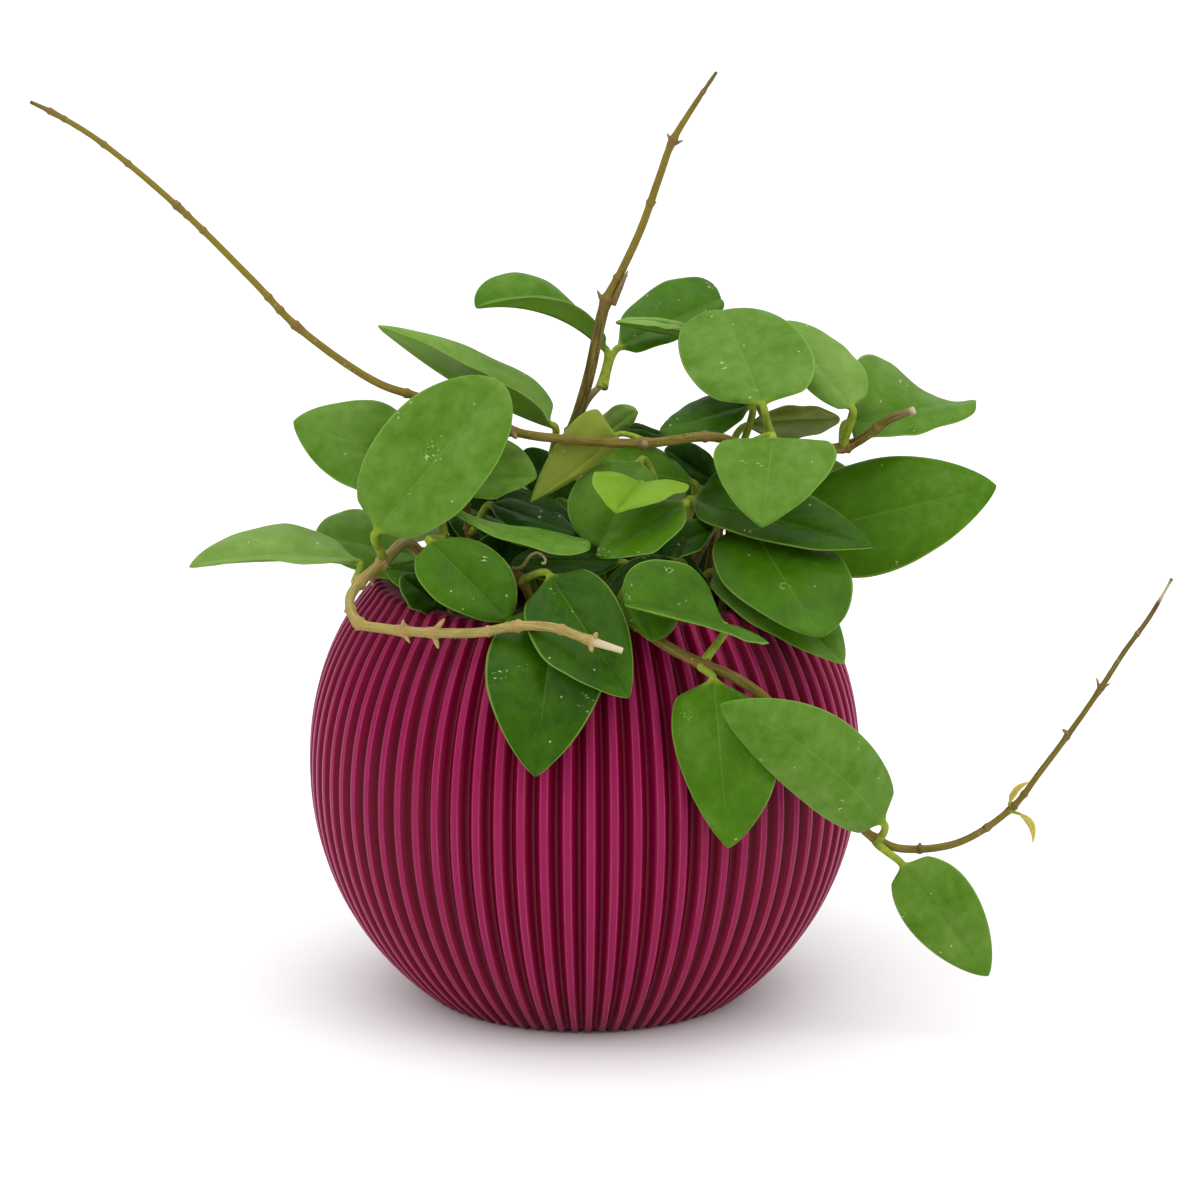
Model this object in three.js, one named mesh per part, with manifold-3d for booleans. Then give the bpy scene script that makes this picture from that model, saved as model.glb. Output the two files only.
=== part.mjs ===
// A potted hoya: a ribbed, ball-shaped pot filled with soil, with woody vines and thick waxy leaves.
// Millimetres, +Z up. The origin is the centre of the pot's flat foot, and -Y is the front.

import * as THREE from "three";
import { mergeVertices } from "three/addons/utils/BufferGeometryUtils.js";
import Module from "manifold-3d";

const wasm = await Module();
wasm.setup();

// Pot
const POT_RADIUS = 90; // over the rib crests where it is widest
const WIDEST_Z = 77;
const UPPER_BULGE = { reach: 90.3, power: 2.17 }; // how the ball closes in towards the rim
const LOWER_BULGE = { reach: 93.4, power: 2.03 }; // and towards the foot
const RIB_COUNT = 76;
const RIB_DEPTH = 2.6;
const RIB_CREST_SHARE = 0.34; // the flat crest, as a share of the pitch
const RIB_TURN = THREE.MathUtils.degToRad(-88.6); // one crest lies just right of the front
const RIB_LEVELS = [0, 14, 36, 62, 90, 112, 128];
const TEETH = { z: 137, crest: 68.9, groove: 66.2 }; // where the ribs turn over at the rim
const RIM = { z: 139, crest: 66.9, groove: 65.4 };
const LIP = { outer: 65, inner: 60.5, innerZ: 137.6 }; // smooth, sloping a little inwards
const WALL = 8; // from the rib crests to the smooth inside
const INSIDE_LEVELS = [6, 24, 46, 77, 100, 112, 124]; // from the floor up
const ROUND_SIDES = 48;

// Soil
const SOIL_Z = 112;
const SOIL_MOUND = 4;
const GAP = 0.3; // between pieces that touch

// Vines
const ROOT_LEVELS = [100, 117, 121]; // a stem stands upright in the soil
const HOLE_SIDES = 8;
const VINE_SIDES = 6;
const VINE_STEP = 15;
const NODE_SWELL = 1.4; // a node's radius, as a multiple of the stem's
const NODE_REACH = 2.6;
const TIP_SHARE = 0.7; // the tip's radius, as a share of the root's
const SPUR_SIDES = 5;
const FINE = 20; // steps between two points of a path when it is measured

// Leaves
const PETIOLE_RADIUS = 1.7;
const PETIOLE_BEND = 0.35;
const BLADE_MIDDLE = 1.4; // thickness at the midrib
const BLADE_EDGE = 0.9;
const BLADE_STEPS = [0.05, 0.18, 0.36, 0.56, 0.76, 0.92];
const ACROSS = [-1, -0.5, 0, 0.5, 1];
const BLADE_PUFF = 1.2; // each half of a blade bulges by this much between midrib and edge
const BLADE_FORMS = {
  ovate: { base: 0.5, tip: 0.75 },
  round: { base: 0.5, tip: 0.55 },
  disc: { base: 0.38, tip: 0.42 },
  pointed: { base: 0.42, tip: 0.85 },
  blunt: { base: 0.75, tip: 0.45 },
  heart: { base: 0.3, tip: 0.85 },
  lance: { base: 0.6, tip: 0.85 },
};

const glaze = new THREE.MeshStandardMaterial({ color: 0x8a1450, roughness: 0.35 });
const earth = new THREE.MeshStandardMaterial({ color: 0x2b2019, roughness: 0.95 });
const bark = new THREE.MeshStandardMaterial({ color: 0x7a6a3c, roughness: 0.7 });
const paleBark = new THREE.MeshStandardMaterial({ color: 0xb0a070, roughness: 0.7 });
const green = new THREE.MeshStandardMaterial({ color: 0x3f7a2c, roughness: 0.4 });
const youngGreen = new THREE.MeshStandardMaterial({ color: 0x7db32c, roughness: 0.4 });
const oliveGreen = new THREE.MeshStandardMaterial({ color: 0x7a8a35, roughness: 0.45 });

// A vine's path runs from where it leaves the soil to its tip, and "nodes" are the points of it that are
// swollen. A leaf springs from point "from". "base" is where its petiole meets the blade and "tip" is the
// blade's point. "left" and "right" run from the midrib to the two edges where the blade is widest, seen on
// its upper face with the tip up. "bow" is how far the middle of the midrib lies off the straight line, and
// "furl" turns the left half more and more towards the tip.
const vines = {
  long_left: {
    root: [38, 4],
    radius: 1.6,
    path: [
      [42, 6, 150], [44, 5, 171], [49, -16, 186], [40, -25, 191], [19, -30, 190], [-8, -28, 191],
      [-23, -26, 193], [-52, -22, 203], [-66, -22, 208], [-91, -22, 226], [-104, -22, 240], [-128, -20, 264],
      [-154, -15, 285], [-168, -12, 293], [-175, -10, 296],
    ],
    nodes: [2, 4, 6, 9, 11, 13],
    leaves: [
      {
        from: 2, form: "heart", base: [60, -26, 191], tip: [56, -49, 167],
        left: [21, -2, 2], right: [-18, 0, 2],
      },
      {
        from: 4, skin: oliveGreen, base: [10, -33, 194], tip: [-17, -39, 171],
        left: [-4, 0, -5], right: [2, 4, 15],
      },
    ],
  },
  upright: {
    root: [-14, 14],
    radius: 2,
    path: [
      [-12, 9, 150], [-9, 4, 178], [-4, 0, 188], [1, -2, 204], [7, -5, 231], [12, -5, 241], [18, -4, 254],
      [24, -3, 271], [28, -2, 282], [34, -1, 292], [42, 0, 304],
    ],
    nodes: [1, 4, 8],
    branch: { from: [-4, 0, 187], to: [6, 5, 202], middle: [1, 3, 197], radius: 1.5 },
    spurs: [
      { from: [7, -5, 230], to: [2, -7, 235], radius: 1 },
      { from: [8, -5, 231], to: [14, -7, 241], radius: 1.1 },
      { from: [28, -2, 281], to: [25.5, -3, 285], radius: 0.7 },
      { from: [28, -2, 281], to: [32, -3, 280], radius: 0.7 },
    ],
    leaves: [
      {
        from: 1, form: "lance", base: [-10, -4, 190], tip: [-66, -10, 224],
        left: [1, -15, 10], right: [8, 15, 7], bow: [0, -1, -3],
      },
      {
        start: [4.7, 5.2, 203.3], form: "round", base: [7, 10, 212], tip: [-35, 4, 227],
        left: [5, -8, 5], right: [-6, 12, 10], bow: [2, -1, 6],
      },
      {
        start: [8.5, 6.6, 202.5], form: "disc", base: [11, 20, 210.5], tip: [45, 48, 221],
        left: [-3, 15, 10], right: [5, -6, -3],
      },
      { from: 1, base: [4, 8, 182], tip: [17, 0, 194], left: [-1, 3, 6], right: [4, -3, 0] },
    ],
  },
  trailing: {
    root: [4, -42],
    radius: 1.7,
    path: [
      [5, -50, 138], [9, -62, 142.5], [15, -69, 141.5], [25, -76, 136], [37, -81, 131], [45, -82, 128],
      [54, -81, 122], [68, -74, 106], [80, -66, 87], [88, -60, 72], [93, -57, 67], [101, -54, 63],
      [120, -47, 63], [137, -42, 73], [146, -39, 84], [156, -36, 97], [165, -34, 110], [173, -31, 122],
      [181, -29, 133], [188, -27, 145],
    ],
    nodes: [0, 4, 10, 13, 16],
    spurs: [
      { from: [137, -42, 73], to: [133, -43, 79], radius: 0.9 },
      { from: [137, -42, 73], to: [145, -43, 66], radius: 0.9 },
      { from: [165, -34, 110], to: [163, -35, 115], radius: 0.7 },
      { from: [165, -34, 110], to: [169, -34, 110], radius: 0.7 },
    ],
    leaves: [
      {
        from: 4, form: "blunt", base: [56, -74, 136], tip: [13, -86, 149],
        left: [6, -9, -2], right: [-7, 17, 16], bow: [-1, -2, 0],
      },
      {
        from: 4, form: "heart", base: [40, -85, 128], tip: [45, -90, 74],
        left: [20, 5, -8], right: [-14, 0, -3],
      },
      {
        from: 10, base: [95, -64, 74], tip: [42, -102, 124],
        left: [-7, 2, -13], right: [11, 8, 8], bow: [1, -3, 6],
      },
      { from: 10, base: [101, -57, 59], tip: [129, -62, 23], left: [10, 0, 9], right: [-9, -2, -6] },
      { from: 0, base: [16, -64, 154], tip: [21, -79, 138], left: [11, 2, -3], right: [-6, -2, 0] },
    ],
  },
  front_loop: {
    root: [-40, -8],
    radius: 1.9,
    bark: paleBark,
    path: [
      [-48, -14, 142], [-57, -24, 156], [-64, -34, 152], [-71, -44, 148], [-74, -52, 144], [-71, -60, 139],
      [-62, -64, 138], [-47, -69, 138], [-32, -76, 140], [-21, -80, 143], [-9, -86, 144], [2, -90, 141],
      [12, -91, 138],
    ],
    nodes: [2, 3, 5, 6, 7, 9, 11],
    spurs: [
      { from: [-47, -69, 138], to: [-43, -70, 143], radius: 0.8 },
      { from: [-47, -69, 138], to: [-46, -71, 133], radius: 0.8 },
    ],
    leaves: [
      { from: 2, base: [-66, -44, 164], tip: [-26, -36, 211], left: [-16, 7, 11], right: [13, -9, -8] },
      {
        from: 3, form: "lance", base: [-72, -30, 151], tip: [-126, -32, 150],
        left: [2, -11, 1], right: [-5, 16, 7], bow: [0, 1, 2],
      },
    ],
  },
  top_right: {
    root: [38, 24],
    radius: 1.7,
    path: [
      [43, 16, 148], [50, 3, 170], [61, -8, 184], [72, -6, 183], [84, 0, 182], [92, -2, 187], [98, -4, 192],
      [106, -6, 195.5],
    ],
    nodes: [0, 1, 2, 4],
    leaves: [
      {
        from: 2, form: "disc", base: [57, -20, 200], tip: [45, 20, 223],
        left: [-20, 1, -1], right: [21.5, -4, 4.5],
      },
      {
        from: 4, form: "round", base: [86, -6, 196], tip: [63, 16, 220],
        left: [-5, -4, -4], right: [12, 7, 2],
      },
      {
        from: 4, form: "disc", base: [90, 8, 188], tip: [128, 24, 192],
        left: [-5, 15, 15], right: [-1, -14, -6], furl: -2.4,
      },
      { from: 2, base: [38, 25, 213], tip: [10, 13.5, 220.3], left: [0, -6, 2.5], right: [-1, 2, 4] },
      { from: 1, base: [53, -3, 196], tip: [24, -14, 190], left: [0, -9, -4], right: [-3, 13, 3] },
      {
        from: 0, skin: oliveGreen, base: [53, 14, 186], tip: [83, 14, 188],
        left: [3, -12, -2], right: [4, 8, 4],
      },
    ],
  },
  low_right: {
    root: [26, -30],
    radius: 1.8,
    path: [[30, -26, 136], [36, -18, 150], [43, -12, 160], [52, -8, 160], [58, -6, 160]],
    nodes: [0, 2, 3],
    leaves: [
      { from: 3, base: [67, 2, 152], tip: [133, -4, 170], left: [-4, 10, 16], right: [2, -10, -17] },
      {
        from: 2, form: "pointed", base: [34, -14, 168], tip: [92, -34, 157],
        left: [5, 14, 10], right: [-3, -17, -3],
      },
      { from: 2, base: [52, -22, 162], tip: [74, -67, 136], left: [22, 7, 0], right: [-18, -5, -2] },
      {
        from: 0, base: [41, -26, 147], tip: [82, -54, 124],
        left: [12, 8, 5], right: [-7, -14, -2], bow: [0, 0, 3],
      },
    ],
  },
  front: {
    root: [-16, -34],
    radius: 1.6,
    path: [[-16, -44, 138], [-20, -46, 149], [-32, -44, 157], [-45, -42, 162]],
    nodes: [0, 1, 3],
    branch: { from: [-26, -45.5, 153.5], to: [-12, -57, 159.5], middle: [-20, -50, 158], radius: 0.9 },
    leaves: [
      { from: 3, base: [-49, -50, 163], tip: [-24, -66, 141], left: [13, 2, 5], right: [-10, -6, -5] },
      {
        from: 1, form: "pointed", base: [-11, -60, 154.5], tip: [14, -95, 124],
        left: [12, 0, 7], right: [-10, -12, -4],
      },
      {
        from: 0, form: "pointed", base: [-8, -58, 146.5], tip: [-15, -96, 99],
        left: [18, -7, -4], right: [-20, -6, -2], bow: [0, -7, 5],
      },
      {
        from: 3, form: "lance", base: [-46, -38, 173], tip: [2, -58, 163],
        left: [1, 10, 2], right: [1, -7, 0], bow: [0, -1, -5],
      },
    ],
  },
  left: {
    root: [-30, 0],
    radius: 1.6,
    path: [[-34, -6, 136], [-37, -7, 156], [-38, -8, 168], [-32, -6, 177], [-22, -6, 180]],
    nodes: [0, 1, 2, 3],
    leaves: [
      { from: 2, base: [-51, -18, 178], tip: [-93, -16, 194], left: [-5, -9, -11], right: [5, 13, 12] },
      { from: 0, base: [-51, -6, 146], tip: [-87, -6, 154], left: [-2, -10, -7], right: [-5, 14, 10] },
      { from: 3, base: [-43, -26, 176], tip: [-15, -30, 179], left: [2, 10, 12], right: [0, -8, -4] },
      { from: 1, base: [-30, -18, 167], tip: [-3, -34, 161], left: [5, 8, 2], right: [-1, -8, -3] },
      { from: 0, base: [-46, -26, 145], tip: [-63, -36, 150], left: [-2, -8, -3], right: [-1, 6, 3] },
    ],
  },
  centre: {
    root: [22, 0],
    radius: 1.8,
    path: [[26, -4, 138], [28, -9, 148], [30, -18, 158], [28, -28, 167]],
    nodes: [1, 2, 3],
    leaves: [
      {
        from: 2, form: "round", base: [18, -20, 182], tip: [5, -34, 157],
        left: [10, 3, -5], right: [-16, -1, 4],
      },
      { from: 1, base: [35, -4, 171], tip: [4, -6, 178], left: [-5, -3, -5], right: [-6, 17, 5] },
      {
        from: 3, form: "heart", skin: youngGreen, base: [18, -36, 178], tip: [10, -62, 175],
        left: [17, 1, 1], right: [-13, -5, 7],
      },
      { from: 3, base: [32, -36, 172], tip: [4, -54, 159], left: [4, -13, -4], right: [-6, 5, 2] },
      { from: 2, base: [41, -26, 161], tip: [24, -42, 157], left: [-1, -10, -3], right: [-4, 6, 4] },
    ],
  },
  back: {
    root: [6, 34],
    radius: 1.8,
    path: [[4, 52, 138], [2, 64, 144], [0, 74, 140], [-4, 86, 124], [-8, 94, 104], [-10, 96, 86]],
    nodes: [2, 4],
    leaves: [
      { from: 2, base: [11, 82, 137], tip: [46, 98, 104], left: [-13, 10, -9], right: [14, -5, 12] },
      { from: 2, base: [-12, 82, 137], tip: [-46, 94, 108], left: [-13, -6, 12], right: [12, 11, -9] },
      { from: 4, base: [4, 98, 100], tip: [26, 104, 58], left: [-16, 5, -8], right: [16, -1, 8] },
    ],
  },
  back_left: {
    root: [-16, 30],
    radius: 1.6,
    path: [[-22, 40, 138], [-30, 48, 150], [-34, 52, 158]],
    nodes: [0, 1],
    leaves: [
      { from: 0, base: [-34, 46, 147], tip: [-64, 70, 132], left: [-12, -13, 3], right: [9, 15, 6] },
      { from: 1, base: [-25, 60, 161], tip: [-12, 92, 140], left: [-17, 8, 1], right: [18, -3, 5] },
      { from: 1, base: [-37, 42, 162], tip: [-58, 24, 178], left: [11, -2, 12], right: [-12, 7, -8] },
    ],
  },
  back_right: {
    root: [30, 36],
    radius: 1.6,
    path: [[37, 43, 142], [46, 50, 151], [50, 54, 157]],
    nodes: [0, 1],
    leaves: [
      { from: 0, base: [52, 48, 150.5], tip: [84, 62, 133.5], left: [-5, 17, 4], right: [8, -16, 2] },
      { from: 1, base: [44, 61, 161], tip: [34, 94, 138], left: [-18, -3, 3], right: [18, 6, 1] },
      { from: 1, base: [57, 44, 160], tip: [86, 32, 168], left: [7, 14, -5], right: [-7, -10, 11] },
    ],
  },
};

const vector = (list) => new THREE.Vector3(...list);

// A closed solid through rings of points, each anticlockwise about the way that the rings are stacked.
// A last ring of one point ends it in a tip.
function loft(rings) {
  const corners = rings.flat();
  const faces = [];
  const sides = rings[0].length;
  const corner = (ring, i) => ring * sides + (rings[ring].length === 1 ? 0 : i % sides);
  for (let ring = 0; ring + 1 < rings.length; ring++) {
    const next = ring + 1;
    for (let i = 0; i < sides; i++) {
      faces.push(corner(ring, i), corner(ring, i + 1), corner(next, i + 1));
      if (rings[next].length > 1) faces.push(corner(ring, i), corner(next, i + 1), corner(next, i));
    }
  }
  const close = (ring, first, second) => {
    const middle = rings[ring].reduce((sum, point) => sum.add(point), new THREE.Vector3());
    corners.push(middle.divideScalar(sides));
    const centre = corners.length - 1;
    for (let i = 0; i < sides; i++) faces.push(centre, corner(ring, i + first), corner(ring, i + second));
  };
  close(0, 1, 0);
  if (rings.at(-1).length > 1) close(rings.length - 1, 0, 1);
  return new THREE.BufferGeometry().setFromPoints(corners).setIndex(faces);
}

// Points round a centre, in the plane of two directions.
function circle(centre, across, up, radius, sides) {
  return Array.from({ length: sides }, (_, i) => {
    const angle = (2 * Math.PI * i) / sides;
    return centre
      .clone()
      .addScaledVector(across, radius * Math.cos(angle))
      .addScaledVector(up, radius * Math.sin(angle));
  });
}

function solidOf(geometry) {
  const bare = geometry.clone();
  bare.deleteAttribute("normal");
  bare.deleteAttribute("uv");
  const merged = mergeVertices(bare, 1e-4);
  return new wasm.Manifold(
    new wasm.Mesh({
      numProp: 3,
      vertProperties: merged.attributes.position.array,
      triVerts: new Uint32Array(merged.index.array),
    }),
  );
}

function geometryOf(solid) {
  const { vertProperties, triVerts } = solid.getMesh();
  return new THREE.BufferGeometry()
    .setAttribute("position", new THREE.BufferAttribute(vertProperties, 3))
    .setIndex(new THREE.BufferAttribute(triVerts, 1));
}

function revolved(profile) {
  const points = profile.map(([radius, z]) => new THREE.Vector2(radius, z));
  return solidOf(new THREE.LatheGeometry(points, ROUND_SIDES).rotateX(Math.PI / 2));
}

function crestRadius(z) {
  const bulge = z > WIDEST_Z ? UPPER_BULGE : LOWER_BULGE;
  return POT_RADIUS * Math.sqrt(1 - (Math.abs(z - WIDEST_Z) / bulge.reach) ** bulge.power);
}

function ribRing({ z, crest, groove }) {
  const pitch = (2 * Math.PI) / RIB_COUNT;
  const half = RIB_CREST_SHARE / 2;
  const points = [];
  for (let rib = 0; rib < RIB_COUNT; rib++) {
    for (const [share, radius] of [[-half, crest], [half, crest], [0.5, groove]]) {
      const angle = RIB_TURN + pitch * (rib + share);
      points.push(new THREE.Vector3(radius * Math.cos(angle), radius * Math.sin(angle), z));
    }
  }
  return points;
}

function makePot() {
  const rings = RIB_LEVELS.map((z) => {
    const crest = crestRadius(z);
    return { z, crest, groove: crest - (RIB_DEPTH * crest) / POT_RADIUS };
  });
  const body = solidOf(loft([...rings, TEETH, RIM].map(ribRing)));
  const wall = INSIDE_LEVELS.map((z) => [crestRadius(z) - WALL, z]);
  const above = RIM.z + 2;
  const inside = revolved([
    [0, INSIDE_LEVELS[0]],
    ...wall,
    [LIP.inner, LIP.innerZ],
    [LIP.outer, RIM.z],
    [LIP.outer, above],
    [0, above],
  ]);
  return geometryOf(body.subtract(inside));
}

function makeSoil() {
  const wall = INSIDE_LEVELS.filter((z) => z <= SOIL_Z).map((z) => [crestRadius(z) - WALL - GAP, z]);
  wall[0][1] += GAP;
  const edge = wall.at(-1)[0];
  const mound = [0.6, 0.3, 0].map((share) => [edge * share, SOIL_Z + SOIL_MOUND * (1 - share ** 2)]);
  let soil = revolved([[0, wall[0][1]], ...wall, ...mound]);
  for (const { root, radius } of Object.values(vines)) {
    const height = ROOT_LEVELS[1] - ROOT_LEVELS[0] + GAP;
    const hole = new THREE.CylinderGeometry(radius + 2 * GAP, radius + 2 * GAP, height, HOLE_SIDES);
    hole.rotateX(Math.PI / 2).translate(root[0], root[1], ROOT_LEVELS[1] - height / 2);
    soil = soil.subtract(solidOf(hole));
  }
  return geometryOf(soil);
}

// A stem along a curve, thicker at the given distances along it.
function stem(curve, radius, swollen) {
  const length = curve.getLength();
  const even = Math.ceil(length / VINE_STEP);
  const stations = Array.from({ length: even + 1 }, (_, i) => ({ at: (length * i) / even, swell: 1 })).filter(
    ({ at }) => at === 0 || at === length || swollen.every((node) => Math.abs(node - at) > 1.6 * NODE_REACH),
  );
  for (const node of swollen) {
    stations.push({ at: node - NODE_REACH, swell: 1 }, { at: node, swell: NODE_SWELL });
    stations.push({ at: node + NODE_REACH, swell: 1 });
  }
  const kept = stations.filter(({ at }) => at >= 0 && at <= length).sort((a, b) => a.at - b.at);
  let across = new THREE.Vector3(1, 0, 0);
  return loft(
    kept.map(({ at, swell }) => {
      const along = curve.getTangentAt(at / length);
      across = across.clone().addScaledVector(along, -across.dot(along)).normalize();
      const up = along.clone().cross(across);
      const taper = THREE.MathUtils.lerp(1, TIP_SHARE, at / length);
      return circle(curve.getPointAt(at / length), across, up, radius * swell * taper, VINE_SIDES);
    }),
  );
}

function vineCurve({ root, path }) {
  const upright = ROOT_LEVELS.map((z) => [...root, z]);
  return new THREE.CatmullRomCurve3([...upright, ...path].map(vector), false, "centripetal");
}

// A small pointed prong, bract or bud scale.
function spur({ from, to, radius }) {
  const along = vector(to).sub(vector(from)).normalize();
  const across = new THREE.Vector3(0, 1, 0).addScaledVector(along, -along.y).normalize();
  return loft([circle(vector(from), across, along.clone().cross(across), radius, SPUR_SIDES), [vector(to)]]);
}

// How far along a vine's curve a point of its path lies.
function distanceTo(curve, node) {
  const lengths = curve.getLengths(FINE * (curve.points.length - 1));
  return lengths[FINE * (node + ROOT_LEVELS.length)];
}

function makeVine(vine) {
  const curve = vineCurve(vine);
  const swollen = vine.nodes.map((node) => distanceTo(curve, node));
  let solid = solidOf(stem(curve, vine.radius, swollen));
  if (vine.branch) {
    const { from, middle, to, radius } = vine.branch;
    const side = new THREE.CatmullRomCurve3([from, middle, to].map(vector), false, "centripetal");
    solid = solid.add(solidOf(stem(side, radius, [])));
  }
  for (const prong of vine.spurs ?? []) solid = solid.add(solidOf(spur(prong)));
  return geometryOf(solid);
}

// Where a petiole starts on its vine, just clear of the bark, and the way that it sets off.
function petioleStart(vine, leaf) {
  const base = vector(leaf.base);
  if (leaf.start) return { start: vector(leaf.start), away: base.sub(vector(leaf.start)).normalize() };
  const curve = vineCurve(vine);
  const share = (leaf.from + ROOT_LEVELS.length) / (curve.points.length - 1);
  const along = curve.getTangent(share);
  const seat = vector(vine.path[leaf.from]);
  const away = base.sub(seat);
  away.addScaledVector(along, -away.dot(along)).normalize();
  const taper = THREE.MathUtils.lerp(1, TIP_SHARE, distanceTo(curve, leaf.from) / curve.getLength());
  return { start: seat.addScaledVector(away, vine.radius * NODE_SWELL * taper + GAP), away };
}

// A petiole and a blade in one piece: round rings, then flat ones that follow the blade's outline.
function makeLeaf(vine, leaf) {
  const [base, tip, left, right] = [leaf.base, leaf.tip, leaf.left, leaf.right].map(vector);
  const bow = vector(leaf.bow ?? [0, 0, 0]);
  const form = BLADE_FORMS[leaf.form ?? "ovate"];
  const axis = tip.clone().sub(base).normalize();
  const widest = form.base / (form.base + form.tip);
  const outline = (s) => s ** form.base * (1 - s) ** form.tip;
  const midrib = (s) => base.clone().lerp(tip, s).addScaledVector(bow, 4 * s * (1 - s));

  const { start, away } = petioleStart(vine, leaf);
  const setOff = midrib(0.05).sub(base).normalize();
  const bend = PETIOLE_BEND * start.distanceTo(base);
  const petiole = new THREE.CubicBezierCurve3(
    start, start.clone().addScaledVector(away, bend), base.clone().addScaledVector(setOff, -bend), base,
  );
  const sideways = right.clone().sub(left);
  const round = [0, 0.5, 1].map((share) => {
    const along = petiole.getTangent(share);
    const across = sideways.clone().addScaledVector(along, -sideways.dot(along)).normalize();
    const up = across.clone().cross(along);
    return ACROSS.concat(ACROSS).map((_, i) => {
      const angle = ((162 - 36 * i) * Math.PI) / 180;
      return petiole
        .getPoint(share)
        .addScaledVector(across, PETIOLE_RADIUS * Math.cos(angle))
        .addScaledVector(up, PETIOLE_RADIUS * Math.sin(angle));
    });
  });

  const flat = BLADE_STEPS.map((s) => {
    const leftHere = left.clone().applyAxisAngle(axis, (leaf.furl ?? 0) * (s - widest));
    const leftUp = leftHere.clone().negate().cross(axis).normalize();
    const rightUp = right.clone().cross(axis).normalize();
    const width = outline(s) / outline(widest);
    const point = (u, face) => {
      const reach = Math.abs(u);
      const up = u === 0 ? leftUp.clone().add(rightUp).normalize() : u < 0 ? leftUp : rightUp;
      const thickness = THREE.MathUtils.lerp(BLADE_MIDDLE, BLADE_EDGE, reach);
      return midrib(s)
        .addScaledVector(u < 0 ? leftHere : right, reach * width)
        .addScaledVector(up, BLADE_PUFF * width * 4 * reach * (1 - reach) + (face * thickness) / 2);
    };
    return [...ACROSS.map((u) => point(u, 1)), ...ACROSS.toReversed().map((u) => point(u, -1))];
  });
  return loft([...round, ...flat, [tip]]);
}

const plant = new THREE.Group();

function addMesh(name, geometry, material) {
  const mesh = new THREE.Mesh(geometry, material);
  mesh.name = name;
  plant.add(mesh);
}

addMesh("pot", makePot(), glaze);
addMesh("soil", makeSoil(), earth);
for (const [name, vine] of Object.entries(vines)) {
  addMesh(`${name}_vine`, makeVine(vine), vine.bark ?? bark);
  vine.leaves.forEach((leaf, i) => {
    addMesh(`${name}_leaf_${i + 1}`, makeLeaf(vine, leaf), leaf.skin ?? green);
  });
}

export default plant;
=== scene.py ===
import math

import bpy
import numpy as np
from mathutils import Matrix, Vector


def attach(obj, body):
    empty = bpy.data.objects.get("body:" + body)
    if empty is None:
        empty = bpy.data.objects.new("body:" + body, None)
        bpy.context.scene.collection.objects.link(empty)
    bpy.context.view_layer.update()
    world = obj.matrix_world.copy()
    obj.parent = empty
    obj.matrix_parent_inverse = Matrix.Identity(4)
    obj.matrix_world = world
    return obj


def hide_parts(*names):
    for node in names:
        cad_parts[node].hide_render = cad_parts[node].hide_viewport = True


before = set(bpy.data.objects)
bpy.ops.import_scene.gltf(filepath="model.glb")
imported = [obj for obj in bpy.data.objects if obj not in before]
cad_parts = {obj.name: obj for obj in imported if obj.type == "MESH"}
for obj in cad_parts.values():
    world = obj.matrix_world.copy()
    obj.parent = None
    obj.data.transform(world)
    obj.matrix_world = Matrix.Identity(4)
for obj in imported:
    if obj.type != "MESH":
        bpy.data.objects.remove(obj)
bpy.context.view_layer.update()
mm = 0.001  # the tables below are in millimetres, the scene in metres


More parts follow.
